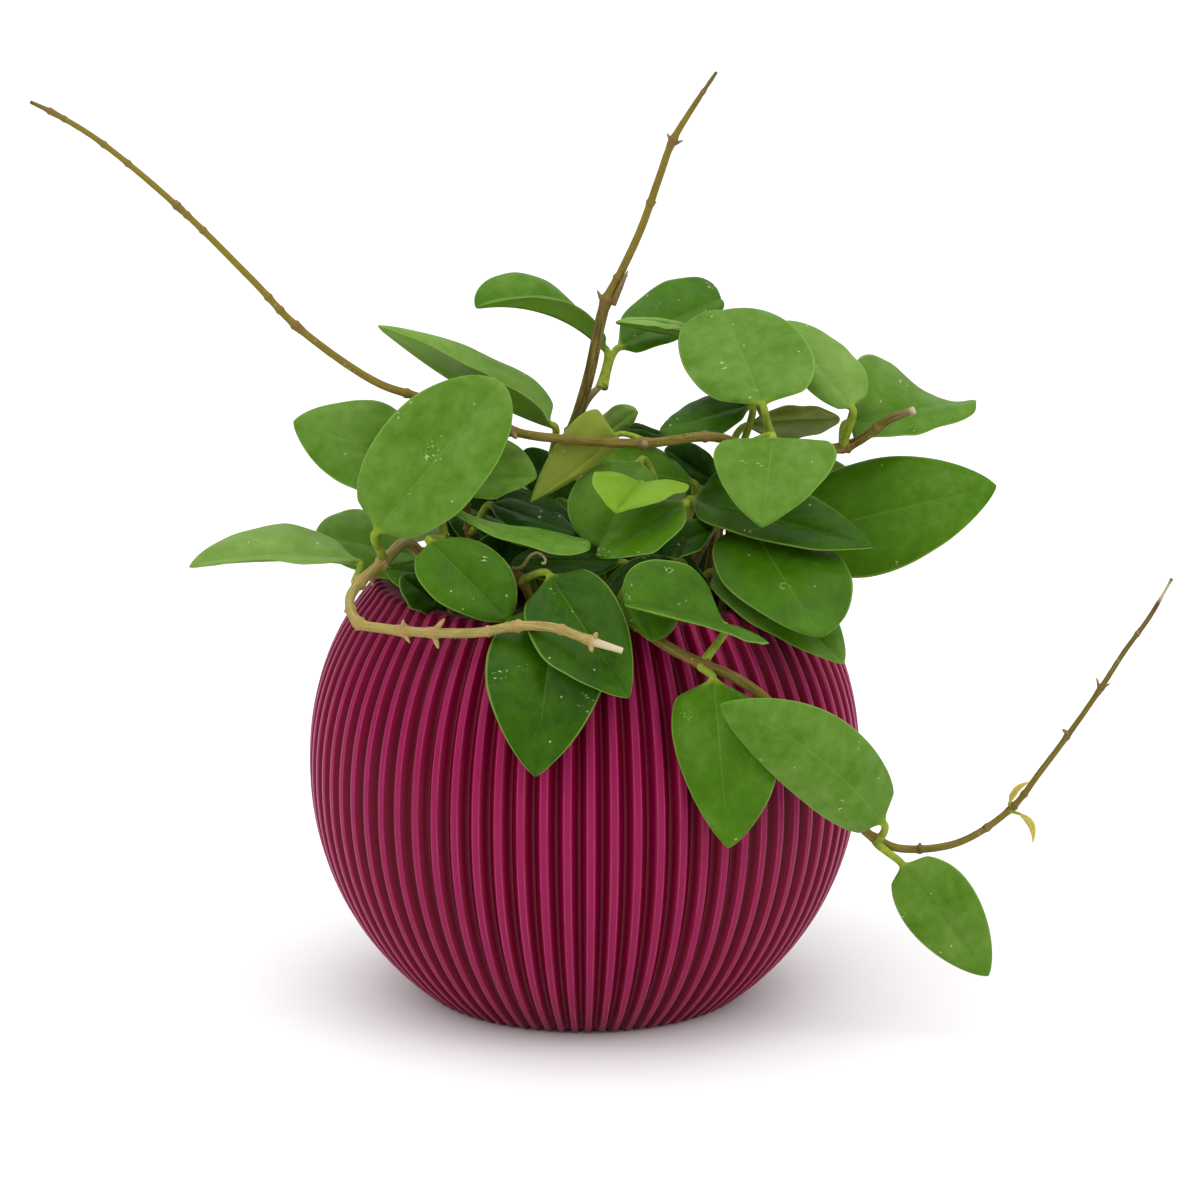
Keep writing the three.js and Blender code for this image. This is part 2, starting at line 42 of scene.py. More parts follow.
class NodePad:
    # puts nodes into one tree, and takes either a value or another node's output for each input
    def __init__(self, tree):
        self.tree = tree

    def plug(self, value, socket):
        if isinstance(value, bpy.types.NodeSocket):
            self.tree.links.new(value, socket)
        else:
            socket.default_value = value

    def add(self, kind, inputs=None, **settings):
        node = self.tree.nodes.new(kind)
        for name, value in settings.items():
            setattr(node, name, value)
        for name, value in (inputs or {}).items():
            self.plug(value, node.inputs[name])
        return node

    def math(self, operation, *values, clamp=False):
        node = self.add("ShaderNodeMath", dict(enumerate(values)), operation=operation, use_clamp=clamp)
        return node.outputs[0]

    def plus(self, a, b):
        return self.math("ADD", a, b)

    def minus(self, a, b):
        return self.math("SUBTRACT", a, b)

    def times(self, a, b):
        return self.math("MULTIPLY", a, b)

    def vector(self, operation, a, b=None):
        inputs = {0: a} if b is None else {0: a, 1: b}
        node = self.add("ShaderNodeVectorMath", inputs, operation=operation)
        return node.outputs["Value" if operation in ("DOT_PRODUCT", "LENGTH", "DISTANCE") else "Vector"]

    def scaled(self, a, factor):
        return self.add("ShaderNodeVectorMath", {0: a, 3: factor}, operation="SCALE").outputs["Vector"]

    def total(self, first, *others):
        for other in others:
            first = self.vector("ADD", first, other)
        return first

    def unit(self, a):
        return self.vector("NORMALIZE", a)

    # a Mix node's inputs 2 and 3 are numbers, 4 and 5 vectors, 6 and 7 colours
    def blend(self, factor, a, b):
        return self.add("ShaderNodeMix", {0: factor, 2: a, 3: b}, data_type="FLOAT").outputs[0]

    def between(self, factor, a, b):
        return self.add("ShaderNodeMix", {0: factor, 4: a, 5: b}, data_type="VECTOR").outputs[1]

    def colour(self, factor, a, b):
        return self.add("ShaderNodeMix", {0: factor, 6: a, 7: b}, data_type="RGBA").outputs[2]

    def ramp(self, value, low, high, toLow=0.0, toHigh=1.0, smooth=True):
        inputs = {0: value, 1: low, 2: high, 3: toLow, 4: toHigh}
        kind = "SMOOTHSTEP" if smooth else "LINEAR"
        return self.add("ShaderNodeMapRange", inputs, interpolation_type=kind).outputs[0]

    def noise(self, place, scale, detail=2.0, rough=0.5):
        inputs = {"Vector": place, "Scale": scale, "Detail": detail, "Roughness": rough}
        return self.add("ShaderNodeTexNoise", inputs).outputs[0]

    def dots(self, place, scale, size, soft, keep, channel):
        # round dots with a soft rim, of which only those whose random colour is over "keep" are left
        cells = self.add("ShaderNodeTexVoronoi", {"Vector": place, "Scale": scale}, feature="F1")
        spots = self.ramp(cells.outputs["Distance"], size, soft, 1.0, 0.0)
        few = self.ramp(self.split(cells.outputs["Color"])[channel], keep, keep + 0.04)
        return self.times(spots, few)

    def join(self, x, y, z):
        return self.add("ShaderNodeCombineXYZ", {0: x, 1: y, 2: z}).outputs[0]

    def split(self, a):
        return self.add("ShaderNodeSeparateXYZ", {0: a}).outputs


def newGroup(name, kind, inputs, outputs):
    # inputs and outputs: (name, socket type, default or None)
    tree = bpy.data.node_groups.new(name, kind)
    for name, socket, value in inputs:
        item = tree.interface.new_socket(name, in_out="INPUT", socket_type=socket)
        if value is not None:
            item.default_value = value
    for name, socket in outputs:
        tree.interface.new_socket(name, in_out="OUTPUT", socket_type=socket)
    pad = NodePad(tree)
    pad.given = tree.nodes.new("NodeGroupInput").outputs
    pad.result = tree.nodes.new("NodeGroupOutput").inputs
    return tree, pad


# what every geometry tree reads, and how it ends


def ownPlace(pad):
    return pad.add("GeometryNodeInputPosition").outputs[0]


def ownNormal(pad):
    return pad.add("GeometryNodeInputNormal").outputs[0]


def readShare(pad, name):
    return pad.add("GeometryNodeInputNamedAttribute", {"Name": name}, data_type="FLOAT").outputs[0]


def storeShare(pad, geometry, name, value):
    inputs = {"Geometry": geometry, "Name": name, "Value": value}
    return pad.add("GeometryNodeStoreNamedAttribute", inputs, data_type="FLOAT", domain="POINT").outputs[0]


def shifted(pad, geometry, offset):
    return pad.add("GeometryNodeSetPosition", {"Geometry": geometry, "Offset": offset}).outputs[0]


def randomVector(pad, least, most, seed):
    inputs = {0: least, 1: most, "Seed": seed}
    return pad.add("FunctionNodeRandomValue", inputs, data_type="FLOAT_VECTOR").outputs[0]


def strewn(pad, surface, density, subdivisions, scale, spin=None):
    # small balls over a surface, and the surface itself; without a spin they stand along its normals
    points = pad.add(
        "GeometryNodeDistributePointsOnFaces",
        {"Mesh": surface, "Density": density, "Seed": pad.given["Seed"]},
        distribute_method="RANDOM",
    ).outputs
    ball = pad.add("GeometryNodeMeshIcoSphere", {"Radius": 1.0, "Subdivisions": subdivisions}).outputs[0]
    copies = pad.add(
        "GeometryNodeInstanceOnPoints",
        {
            "Points": points["Points"],
            "Instance": ball,
            "Rotation": points["Rotation"] if spin is None else spin,
            "Scale": scale,
        },
    ).outputs[0]
    both = pad.add("GeometryNodeJoinGeometry")
    pad.tree.links.new(copies, both.inputs[0])
    pad.tree.links.new(surface, both.inputs[0])
    return both.outputs[0]


def endTree(pad, shape, smooth=True):
    shape = pad.add("GeometryNodeRealizeInstances", {"Geometry": shape}).outputs[0]
    shape = pad.add("GeometryNodeSetShadeSmooth", {0: shape, "Shade Smooth": smooth}).outputs[0]
    shape = pad.add("GeometryNodeSetMaterial", {0: shape, "Material": pad.given["Material"]}).outputs[0]
    pad.plug(shape, pad.result[0])


def bakeTree(name, mesh, tree, values):
    # runs a tree on a mesh with the given inputs, and returns the result as a plain object
    source = bpy.data.objects.new("source", mesh)
    bpy.context.scene.collection.objects.link(source)
    modifier = source.modifiers.new("tree", "NODES")
    modifier.node_group = tree
    sockets = {s.name: s.identifier for s in tree.interface.items_tree if s.in_out == "INPUT"}
    for key, value in values.items():
        modifier[sockets[key]] = value
    source.update_tag()
    evaluated = source.evaluated_get(bpy.context.evaluated_depsgraph_get())
    made = bpy.data.meshes.new_from_object(evaluated)
    bpy.data.objects.remove(source)
    piece = bpy.data.objects.new(name, made)
    made.name = name
    bpy.context.scene.collection.objects.link(piece)
    return piece


def finishPiece(piece, slot, *nodes):
    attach(piece, "root")
    if nodes:
        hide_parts(*nodes)


def plainMesh(name, points, faces):
    mesh = bpy.data.meshes.new(name)
    mesh.from_pydata([tuple(p) for p in points], [], faces)
    mesh.update()
    return mesh


def newMaterial(name):
    material = bpy.data.materials.new(name)
    material.use_nodes = True
    return material, NodePad(material.node_tree), material.node_tree.nodes["Principled BSDF"].inputs


def attribute(pad, name):
    return pad.add("ShaderNodeAttribute", attribute_name=name, attribute_type="GEOMETRY").outputs["Fac"]


def objectPlace(pad):
    return pad.add("ShaderNodeTexCoord").outputs["Object"]


def bumped(pad, height, strength, distance):
    inputs = {"Height": height, "Strength": strength, "Distance": distance * mm}
    return pad.add("ShaderNodeBump", inputs).outputs[0]


def rgb(r, g, b):
    return (r, g, b, 1.0)


# the skin of all leaves; the noises and dots are in waves per metre
skinLook = {
    "clouds": 50.0,
    "mottles": 260.0,
    "grains": 1400.0,
    "cloudShare": 0.55,  # how much clouds and mottles change a blade's tone
    "mottleShare": 0.35,
    "sideVeins": 8.0,  # from base to tip
    "veinSweep": -3.0,  # how far they bend towards the tip
    "veinWavers": 90.0,
    "veinWidth": 0.12,  # as a share of the way to the next vein
    "sideVeinShare": 0.25,  # how strong they are beside the midrib
    "midribWidth": 0.03,  # as shares of the blade's half, like the pale margin
    "margin": (0.955, 0.985),
    "marginShare": 0.55,
    "dots": 290.0,
    "dotsKept": 0.86,
    "flecks": 720.0,
    "fleckStretch": (1.0, 0.6, 2.2),
    "fleckPatches": 95.0,
    "speck": rgb(0.5, 0.52, 0.27),
    "stalk": (rgb(0.15, 0.22, 0.015), rgb(0.28, 0.34, 0.035)),
    "roughness": (0.5, 0.38),  # of the lower and upper face
    "specular": 0.08,
    "bump": 0.5,
    "bumpDepth": 0.4,
}


def makeSkinGroup():
    # the colour, roughness and relief of a waxy blade: along runs from base to tip, across from edge to edge
    colours = {
        "Upper": rgb(0.012, 0.048, 0.0005),
        "Middle": rgb(0.055, 0.15, 0.003),
        "Pale": rgb(0.18, 0.3, 0.06),
        "Under": rgb(0.13, 0.26, 0.02),
        "Edge": rgb(0.2, 0.33, 0.05),
    }
    inputs = [(name, "NodeSocketColor", value) for name, value in colours.items()]
    inputs += [("Vein", "NodeSocketFloat", 0.22), ("Specks", "NodeSocketFloat", 0.7)]
    outputs = [("Color", "NodeSocketColor"), ("Roughness", "NodeSocketFloat"), ("Height", "NodeSocketFloat")]
    tree, pad = newGroup("waxySkin", "ShaderNodeTree", inputs, outputs)
    given = pad.given
    names = ("leafAlong", "leafAcross", "leafFace", "leafStalk", "leafTint")
    along, across, face, stalk, tint = (attribute(pad, name) for name in names)
    reach = pad.math("ABSOLUTE", across)
    onUpper = pad.ramp(face, -0.1, 0.1)
    place = objectPlace(pad)
    cloud = pad.noise(place, skinLook["clouds"], 3.0, 0.6)
    mottle = pad.noise(place, skinLook["mottles"], 4.0, 0.6)
    grain = pad.noise(place, skinLook["grains"], 2.0)
    # a blade's tone: its tint with clouds and mottles; the tint is partly the leaf's own green and partly
    # painted light and shade
    tone = pad.plus(
        pad.times(pad.minus(cloud, 0.5), skinLook["cloudShare"]),
        pad.times(pad.minus(mottle, 0.5), skinLook["mottleShare"]),
    )
    tone = pad.math("ADD", tone, tint, clamp=True)
    upper = pad.colour(pad.ramp(tone, 0.0, 0.5, smooth=False), given["Upper"], given["Middle"])
    upper = pad.colour(pad.ramp(tone, 0.5, 1.0, smooth=False), upper, given["Pale"])
    upper = pad.colour(pad.ramp(grain, 0.55, 0.8, 0.0, 0.06), upper, given["Edge"])

    # side veins leave the midrib and bend towards the tip
    sweep = pad.plus(pad.times(along, skinLook["sideVeins"]), pad.times(reach, skinLook["veinSweep"]))
    waver = pad.times(pad.minus(pad.noise(place, skinLook["veinWavers"]), 0.5), 1.1)
    fromVein = pad.math("PINGPONG", pad.plus(sweep, waver), 0.5)
    sideVein = pad.ramp(fromVein, 0.0, skinLook["veinWidth"], 1.0, 0.0)
    sideVein = pad.times(sideVein, pad.ramp(reach, 0.1, 0.8, 1.0, 0.0))  # fainter towards the edge
    midrib = pad.ramp(reach, 0.006, skinLook["midribWidth"], 1.0, 0.0)
    midrib = pad.times(midrib, pad.ramp(along, 0.3, 1.0, 1.0, 0.3))  # and towards the tip
    veins = pad.math("MAXIMUM", pad.times(sideVein, skinLook["sideVeinShare"]), midrib)
    upper = pad.colour(pad.times(veins, given["Vein"]), upper, given["Edge"])

    # pale corky specks: lone dots, and flecks in clusters where a slow noise is high
    lone = pad.dots(place, skinLook["dots"], 0.06, 0.13, skinLook["dotsKept"], 0)
    stretched = pad.vector("MULTIPLY", place, skinLook["fleckStretch"])
    fleck = pad.ramp(pad.noise(stretched, skinLook["flecks"], 3.0, 0.6), 0.59, 0.63)
    fleck = pad.times(fleck, pad.ramp(pad.noise(place, skinLook["fleckPatches"], 1.0), 0.67, 0.71))
    speck = pad.times(pad.math("MAXIMUM", lone, fleck), given["Specks"])
    upper = pad.colour(speck, upper, skinLook["speck"])

    under = pad.colour(pad.times(veins, 0.4), given["Under"], given["Edge"])
    under = pad.colour(pad.ramp(mottle, 0.3, 0.8, 0.0, 0.35), under, given["Pale"])
    both = pad.colour(onUpper, under, upper)
    margin = pad.ramp(reach, *skinLook["margin"], 0.0, skinLook["marginShare"])
    both = pad.colour(margin, both, given["Edge"])
    stem = pad.colour(pad.ramp(mottle, 0.3, 0.7), *skinLook["stalk"])
    pad.plug(pad.colour(stalk, both, stem), pad.result["Color"])
    rough = pad.plus(pad.blend(onUpper, *skinLook["roughness"]), pad.times(pad.minus(mottle, 0.5), 0.25))
    pad.plug(rough, pad.result["Roughness"])
    relief = pad.plus(pad.times(grain, 0.12), pad.times(mottle, 0.5))
    relief = pad.minus(pad.plus(relief, pad.times(cloud, 1.5)), pad.times(veins, 0.5))
    pad.plug(pad.plus(relief, pad.times(speck, 0.5)), pad.result["Height"])
    return tree


def makeLeafMaterial(name, group, colours):
    material, pad, shader = newMaterial(name)
    skin = pad.add("ShaderNodeGroup", colours, node_tree=group).outputs
    pad.plug(skin["Color"], shader["Base Color"])
    pad.plug(skin["Roughness"], shader["Roughness"])
    pad.plug(bumped(pad, skin["Height"], skinLook["bump"], skinLook["bumpDepth"]), shader["Normal"])
    shader["Specular IOR Level"].default_value = skinLook["specular"]
    return material


# the bark of all vines
barkLook = {
    "streaksAcross": 2.4,  # waves per radius of the stem
    "streaksAlong": 130.0,  # and per metre of its length
    "grains": 1500.0,
    "patches": 110.0,
    "dots": 650.0,
    "dotsKept": 0.86,
    "dot": rgb(0.45, 0.36, 0.2),
    "roughness": 0.5,
    "specular": 0.12,
    "bump": 0.7,
    "bumpDepth": 0.5,
}


def makeBarkGroup():
    # streaks along the stem, green where it is young, brown at the nodes, whitish where it was cut
    colours = {
        "Dark": rgb(0.055, 0.042, 0.008),
        "Light": rgb(0.2, 0.145, 0.032),
        "Young": rgb(0.215, 0.17, 0.014),
        "Scar": rgb(0.17, 0.1, 0.035),
        "Cut": rgb(0.6, 0.5, 0.33),
    }
    inputs = [(name, "NodeSocketColor", value) for name, value in colours.items()]
    inputs.append(("Dots", "NodeSocketFloat", 0.5))
    outputs = [("Color", "NodeSocketColor"), ("Height", "NodeSocketFloat")]
    tree, pad = newGroup("stemBark", "ShaderNodeTree", inputs, outputs)
    given = pad.given
    place = objectPlace(pad)
    names = ("stemYoung", "stemNode", "stemPale", "stemX", "stemY", "stemLength")
    young, node, pale, x, y, length = (attribute(pad, name) for name in names)
    finer = barkLook["streaksAcross"]
    unrolled = pad.join(pad.times(x, finer), pad.times(y, finer), pad.times(length, barkLook["streaksAlong"]))
    streak = pad.noise(unrolled, 1.0, 4.0, 0.65)
    fine = pad.noise(place, barkLook["grains"], 3.0, 0.6)
    patch = pad.noise(place, barkLook["patches"], 3.0)
    wood = pad.colour(pad.ramp(streak, 0.32, 0.68), given["Dark"], given["Light"])
    green = pad.math("MULTIPLY", young, pad.ramp(patch, 0.2, 0.7, 0.65, 1.0), clamp=True)
    fresh = pad.colour(pad.ramp(streak, 0.3, 0.7, 0.0, 0.45), given["Young"], given["Light"])
    wood = pad.colour(green, wood, fresh)
    wood = pad.colour(pad.times(node, 0.75), wood, given["Scar"])
    wood = pad.colour(pale, wood, given["Cut"])
    wood = pad.colour(pad.ramp(fine, 0.5, 0.8, 0.0, 0.3), wood, given["Dark"])
    dot = pad.dots(place, barkLook["dots"], 0.12, 0.3, barkLook["dotsKept"], 1)
    dot = pad.times(dot, given["Dots"])
    pad.plug(pad.colour(dot, wood, barkLook["dot"]), pad.result["Color"])
    relief = pad.plus(pad.times(streak, 0.8), pad.times(fine, 0.3))
    pad.plug(pad.plus(relief, dot), pad.result["Height"])
    return tree


def makeBarkMaterial(name, group, colours):
    material, pad, shader = newMaterial(name)
    bark = pad.add("ShaderNodeGroup", colours, node_tree=group).outputs
    pad.plug(bark["Color"], shader["Base Color"])
    pad.plug(bumped(pad, bark["Height"], barkLook["bump"], barkLook["bumpDepth"]), shader["Normal"])
    shader["Roughness"].default_value = barkLook["roughness"]
    shader["Specular IOR Level"].default_value = barkLook["specular"]
    return material


# the glaze's colours hold painted light: darker flanks and grooves, painted highlights and a dark inside
glazeLook = {
    "crest": rgb(0.25, 0.007, 0.062),
    "thin": rgb(0.42, 0.05, 0.15),  # painted highlight: pink lines along the edges of the ribs, where the crests' shoulders catch the side lamps
    # painted shade: the flanks and grooves are darker than the crests, for the shade down into the grooves
    "flank": rgb(0.15, 0.0, 0.022),
    "groove": rgb(0.085, 0.0, 0.009),
    "grooveHighlight": rgb(0.17, 0.008, 0.035),  # painted highlight: a faint light line along the middle of the grooves
    # painted shade: the dark inside of the pot and of its lip
    "inside": rgb(0.06, 0.001, 0.01),
    "clouds": 30.0,
    "grains": 700.0,
    "highlightPatches": 60.0,
    "roughness": 0.24,
    "insideRougher": 0.4,
    "specular": 0.11,
    "bump": 0.2,
    "bumpDepth": 0.3,
}


def makeGlazeMaterial():
    glaze = glazeLook
    material, pad, shader = newMaterial("magentaGlaze")
    place = objectPlace(pad)
    height, phase, inner = (attribute(pad, name) for name in ("ribHeight", "ribPhase", "potInside"))
    cloud = pad.noise(place, glaze["clouds"], 3.0)
    grain = pad.noise(place, glaze["grains"], 3.0, 0.6)
    # painted shade: darker down the flanks and into the grooves, lighter on the crests
    body = pad.colour(pad.ramp(height, 0.0, 0.6), glaze["groove"], glaze["flank"])
    body = pad.colour(pad.ramp(height, 0.8, 0.98), body, glaze["crest"])
    # painted highlight along the shoulders of the crests, broken into patches by a noise
    shoulderHighlight = pad.times(pad.ramp(phase, 0.1, 0.145), pad.ramp(phase, 0.145, 0.19, 1.0, 0.0))
    shoulderHighlight = pad.times(shoulderHighlight, pad.ramp(pad.noise(place, glaze["highlightPatches"], 3.0), 0.3, 0.7, 0.25, 0.75))
    body = pad.colour(shoulderHighlight, body, glaze["thin"])
    # painted highlight along the middle of the grooves
    body = pad.colour(pad.ramp(phase, 0.455, 0.49, 0.0, 0.7), body, glaze["grooveHighlight"])
    body = pad.colour(pad.times(pad.minus(cloud, 0.4), 0.3), body, glaze["groove"])
    # painted shade over the inside of the pot
    body = pad.colour(inner, body, glaze["inside"])
    pad.plug(body, shader["Base Color"])
    rough = pad.plus(glaze["roughness"], pad.times(grain, 0.14))
    pad.plug(pad.plus(rough, pad.times(inner, glaze["insideRougher"])), shader["Roughness"])
    relief = pad.plus(grain, pad.times(cloud, 2.0))
    pad.plug(bumped(pad, relief, glaze["bump"], glaze["bumpDepth"]), shader["Normal"])
    shader["Specular IOR Level"].default_value = glaze["specular"]
    return material


earthLook = {
    "dry": rgb(0.075, 0.05, 0.032),
    "wet": rgb(0.018, 0.012, 0.008),
    "chip": rgb(0.16, 0.1, 0.055),
    "grains": 900.0,
    "patches": 130.0,
    "roughness": 0.9,
    "bump": 0.9,
    "bumpDepth": 1.0,
}


def makeSoilMaterial():
    earth = earthLook
    material, pad, shader = newMaterial("pottingSoil")
    place = objectPlace(pad)
    fine = pad.noise(place, earth["grains"], 4.0, 0.7)
    patch = pad.noise(place, earth["patches"], 3.0)
    base = pad.colour(pad.ramp(fine, 0.3, 0.7), earth["wet"], earth["dry"])
    base = pad.colour(pad.ramp(patch, 0.58, 0.72, 0.0, 0.6), base, earth["chip"])
    pad.plug(base, shader["Base Color"])
    pad.plug(bumped(pad, fine, earth["bump"], earth["bumpDepth"]), shader["Normal"])
    shader["Roughness"].default_value = earth["roughness"]
    return material


oliveLook = {
    "Upper": rgb(0.05, 0.09, 0.004),
    "Middle": rgb(0.12, 0.17, 0.012),
    "Pale": rgb(0.21, 0.25, 0.035),
    "Under": rgb(0.12, 0.15, 0.02),
    "Specks": 0.2,
}
youngLook = {
    "Upper": rgb(0.08, 0.2, 0.003),
    "Middle": rgb(0.14, 0.26, 0.008),
    "Pale": rgb(0.2, 0.33, 0.03),
    "Under": rgb(0.2, 0.36, 0.02),
    "Specks": 0.1,
}
bractLook = {
    "Upper": rgb(0.38, 0.3, 0.05),
    "Middle": rgb(0.48, 0.38, 0.08),
    "Pale": rgb(0.58, 0.46, 0.12),
    "Under": rgb(0.52, 0.44, 0.12),
    "Specks": 0.0,
}
paleBarkLook = {
    "Dark": rgb(0.2, 0.155, 0.045),
    "Light": rgb(0.43, 0.325, 0.115),
    "Young": rgb(0.24, 0.21, 0.045),
    "Scar": rgb(0.34, 0.22, 0.07),
    "Dots": 0.2,
}

waxySkin = makeSkinGroup()
stemBark = makeBarkGroup()
skins = {  # material and slot
    "leaf": (makeLeafMaterial("hoyaLeaf", waxySkin, {}), "leaf"),
    "olive": (makeLeafMaterial("hoyaOliveLeaf", waxySkin, oliveLook), "olive_leaf"),
    "bract": (makeLeafMaterial("hoyaBract", waxySkin, bractLook), "young_leaf"),
    "young": (makeLeafMaterial("hoyaYoungLeaf", waxySkin, youngLook), "young_leaf"),
}
barks = {
    "bark": (makeBarkMaterial("hoyaBark", stemBark, {}), "bark"),
    "pale": (makeBarkMaterial("hoyaPaleBark", stemBark, paleBarkLook), "pale_bark"),
}
print("materials made")

pot = {
    "radius": 90.0,  # over the crests where it is widest
    "widestZ": 77.0,
    "upperBulge": (90.3, 2.17),  # reach and power of the curve
    "lowerBulge": (93.4, 2.03),
    "wall": 8.0,
    "ribbedFrom": 0.8,
    "ribbedTo": 135.0,
    "ribbedSteps": 40,
    "footRibs": 0.45,  # share of the ribs' depth at the foot
    "footRibRise": 9.0,  # and the height over which that grows by a whole depth
    # radius, height, share of the ribs' depth and share of the inside's painted shade, under the foot and
    # over the rim
    "foot": [(0, 0, 0, 0), (25, 0, 0, 0), (46, 0, 0.2, 0), (50.4, 0, 0.6, 0)],
    "rim": [
        (69.6, 136.4, 1, 0), (68.9, 137.6, 1, 0.1), (68, 138.5, 1, 0.3), (67, 138.95, 1, 0.5),
        (66.4, 139, 0.8, 0.65), (65.6, 138.8, 0.1, 0.8), (64.6, 138.9, 0, 0.8), (62.8, 138.4, 0, 0.85),
        (61.2, 137.9, 0, 0.95), (60.6, 137.4, 0, 1), (60.9, 136.2, 0, 1), (65.5, 131, 0, 1),
    ],
    "insideLevels": (124, 112, 100, 84, 66, 46, 28, 14, 6),
    "floorEdge": 20.0,
    "floorZ": 6.0,
    "ribCount": 76,
    "ribDepth": 2.6,
    "crestShare": 0.11,  # half the crest, as a share of the pitch
    "grooveShare": 0.46,  # where the groove's floor starts
    "crestDome": 0.12,  # a slight dome over each rib, as a share of the ribs' depth
    "ribTurn": math.radians(-88.6),
    "stepsPerRib": 12,
}


def crestRadius(z):
    reach, power = pot["upperBulge"] if z > pot["widestZ"] else pot["lowerBulge"]
    return pot["radius"] * math.sqrt(1 - (abs(z - pot["widestZ"]) / reach) ** power)


def potProfile():
    # from the middle of the foot up the ribbed outside, over the rim and down the smooth inside
    levels = np.linspace(pot["ribbedFrom"], pot["ribbedTo"], pot["ribbedSteps"] + 1)
    ribbed = [(crestRadius(z), z, min(1, pot["footRibs"] + z / pot["footRibRise"]), 0) for z in levels]
    inside = [(crestRadius(z) - pot["wall"], z, 0, 1) for z in pot["insideLevels"]]
    floor = [(pot["floorEdge"], pot["floorZ"], 0, 1), (0, pot["floorZ"], 0, 1)]
    return pot["foot"] + ribbed + pot["rim"] + inside + floor


def ringPoint(radius, angle, z):
    return Vector((radius * math.cos(angle), radius * math.sin(angle), z)) * mm


def around(sides):
    # every side of a ring with the next one
    return [(i, (i + 1) % sides) for i in range(sides)]


def makePotMesh():
    profile = potProfile()
    sides = pot["ribCount"] * pot["stepsPerRib"]
    points, ribs, inner, faces = [], [], [], []
    for radius, z, rib, inside in profile:
        count = 1 if radius == 0 else sides
        angles = [2 * math.pi * i / sides + pot["ribTurn"] for i in range(count)]
        points += [ringPoint(radius, angle, z) for angle in angles]
        ribs += [rib] * count
        inner += [inside] * count
    starts = [1 + sides * row for row in range(len(profile) - 2)]
    for low, high in zip(starts, starts[1:]):
        faces += [(low + i, low + j, high + j, high + i) for i, j in around(sides)]
    for i, j in around(sides):
        faces.append((0, starts[0] + j, starts[0] + i))
        faces.append((starts[-1] + i, starts[-1] + j, len(points) - 1))
    mesh = plainMesh("pot", points, faces)
    for name, values in (("ribShare", ribs), ("potInside", inner)):
        mesh.attributes.new(name, "FLOAT", "POINT").data.foreach_set("value", values)
    return mesh


def makeRibTree():
    # sinks a smooth groove between every two crests of a turned wall
    numbers = ("Rib Count", "Rib Depth", "Crest Share", "Groove Share", "Crest Dome", "Turn", "Widest Radius")
    inputs = [("Geometry", "NodeSocketGeometry", None)]
    inputs += [(name, "NodeSocketFloat", None) for name in numbers]
    inputs.append(("Material", "NodeSocketMaterial", None))
    tree, pad = newGroup("potRibs", "GeometryNodeTree", inputs, [("Geometry", "NodeSocketGeometry")])
    given = pad.given
    x, y, _ = pad.split(ownPlace(pad))
    angle = pad.minus(pad.math("ARCTAN2", y, x), given["Turn"])
    turns = pad.times(pad.math("DIVIDE", angle, 2 * math.pi), given["Rib Count"])
    phase = pad.math("PINGPONG", turns, 0.5)  # 0 on a crest, 0.5 in the middle of a groove
    sunk = pad.ramp(phase, given["Crest Share"], given["Groove Share"])
    dome = pad.times(pad.math("POWER", pad.times(phase, 2.0), 2.0), given["Crest Dome"])
    radius = pad.vector("LENGTH", pad.join(x, y, 0.0))
    share = readShare(pad, "ribShare")
    depth = pad.times(given["Rib Depth"], pad.math("DIVIDE", radius, given["Widest Radius"]))
    depth = pad.times(pad.times(depth, share), pad.plus(sunk, dome))
    shape = shifted(pad, given["Geometry"], pad.scaled(ownNormal(pad), pad.times(depth, -1.0)))
    shape = storeShare(pad, shape, "ribHeight", pad.minus(1.0, pad.times(sunk, share)))
    shape = storeShare(pad, shape, "ribPhase", phase)
    endTree(pad, shape)
    return tree


ribSizes = {
    "Rib Count": float(pot["ribCount"]),
    "Rib Depth": pot["ribDepth"] * mm,
    "Crest Share": pot["crestShare"],
    "Groove Share": pot["grooveShare"],
    "Crest Dome": pot["crestDome"],
    "Turn": pot["ribTurn"],
    "Widest Radius": pot["radius"] * mm,
    "Material": makeGlazeMaterial(),
}
potPiece = bakeTree("ribbed_pot", makePotMesh(), makeRibTree(), ribSizes)
finishPiece(potPiece, "glaze", "pot")
print("pot made:", len(potPiece.data.polygons), "faces")

soil = {
    "z": 112.0,
    "mound": 4.0,
    "gap": 0.3,  # to the pot
    "sides": 120,
    "rings": 34,
    "levels": (100, 84, 66, 46, 28, 14, 7),  # down the side
    "topMargin": 0.5,  # how far below the top's edge the relief and the crumbs begin
    "relief": 6.4,
    "bumps": 160.0,  # of that relief, in waves per metre
    "bumpLevel": 0.62,  # bumps over this share rise, and the others sink
    "reliefFades": (66.0, 74.0),  # towards the pot's wall
    "crumbs": 2600,  # on a disc of this radius
    "crumbSpread": 72.0,
    "crumbSize": 1.5,
    "spin": 6.3,  # radians about each axis, at most
    "smallest": (0.25, 0.25, 0.15),  # of a crumb, as shares of the size
    "largest": (1.3, 0.8, 0.55),
    "seed": 7,
    "sizeSeed": 3,
}


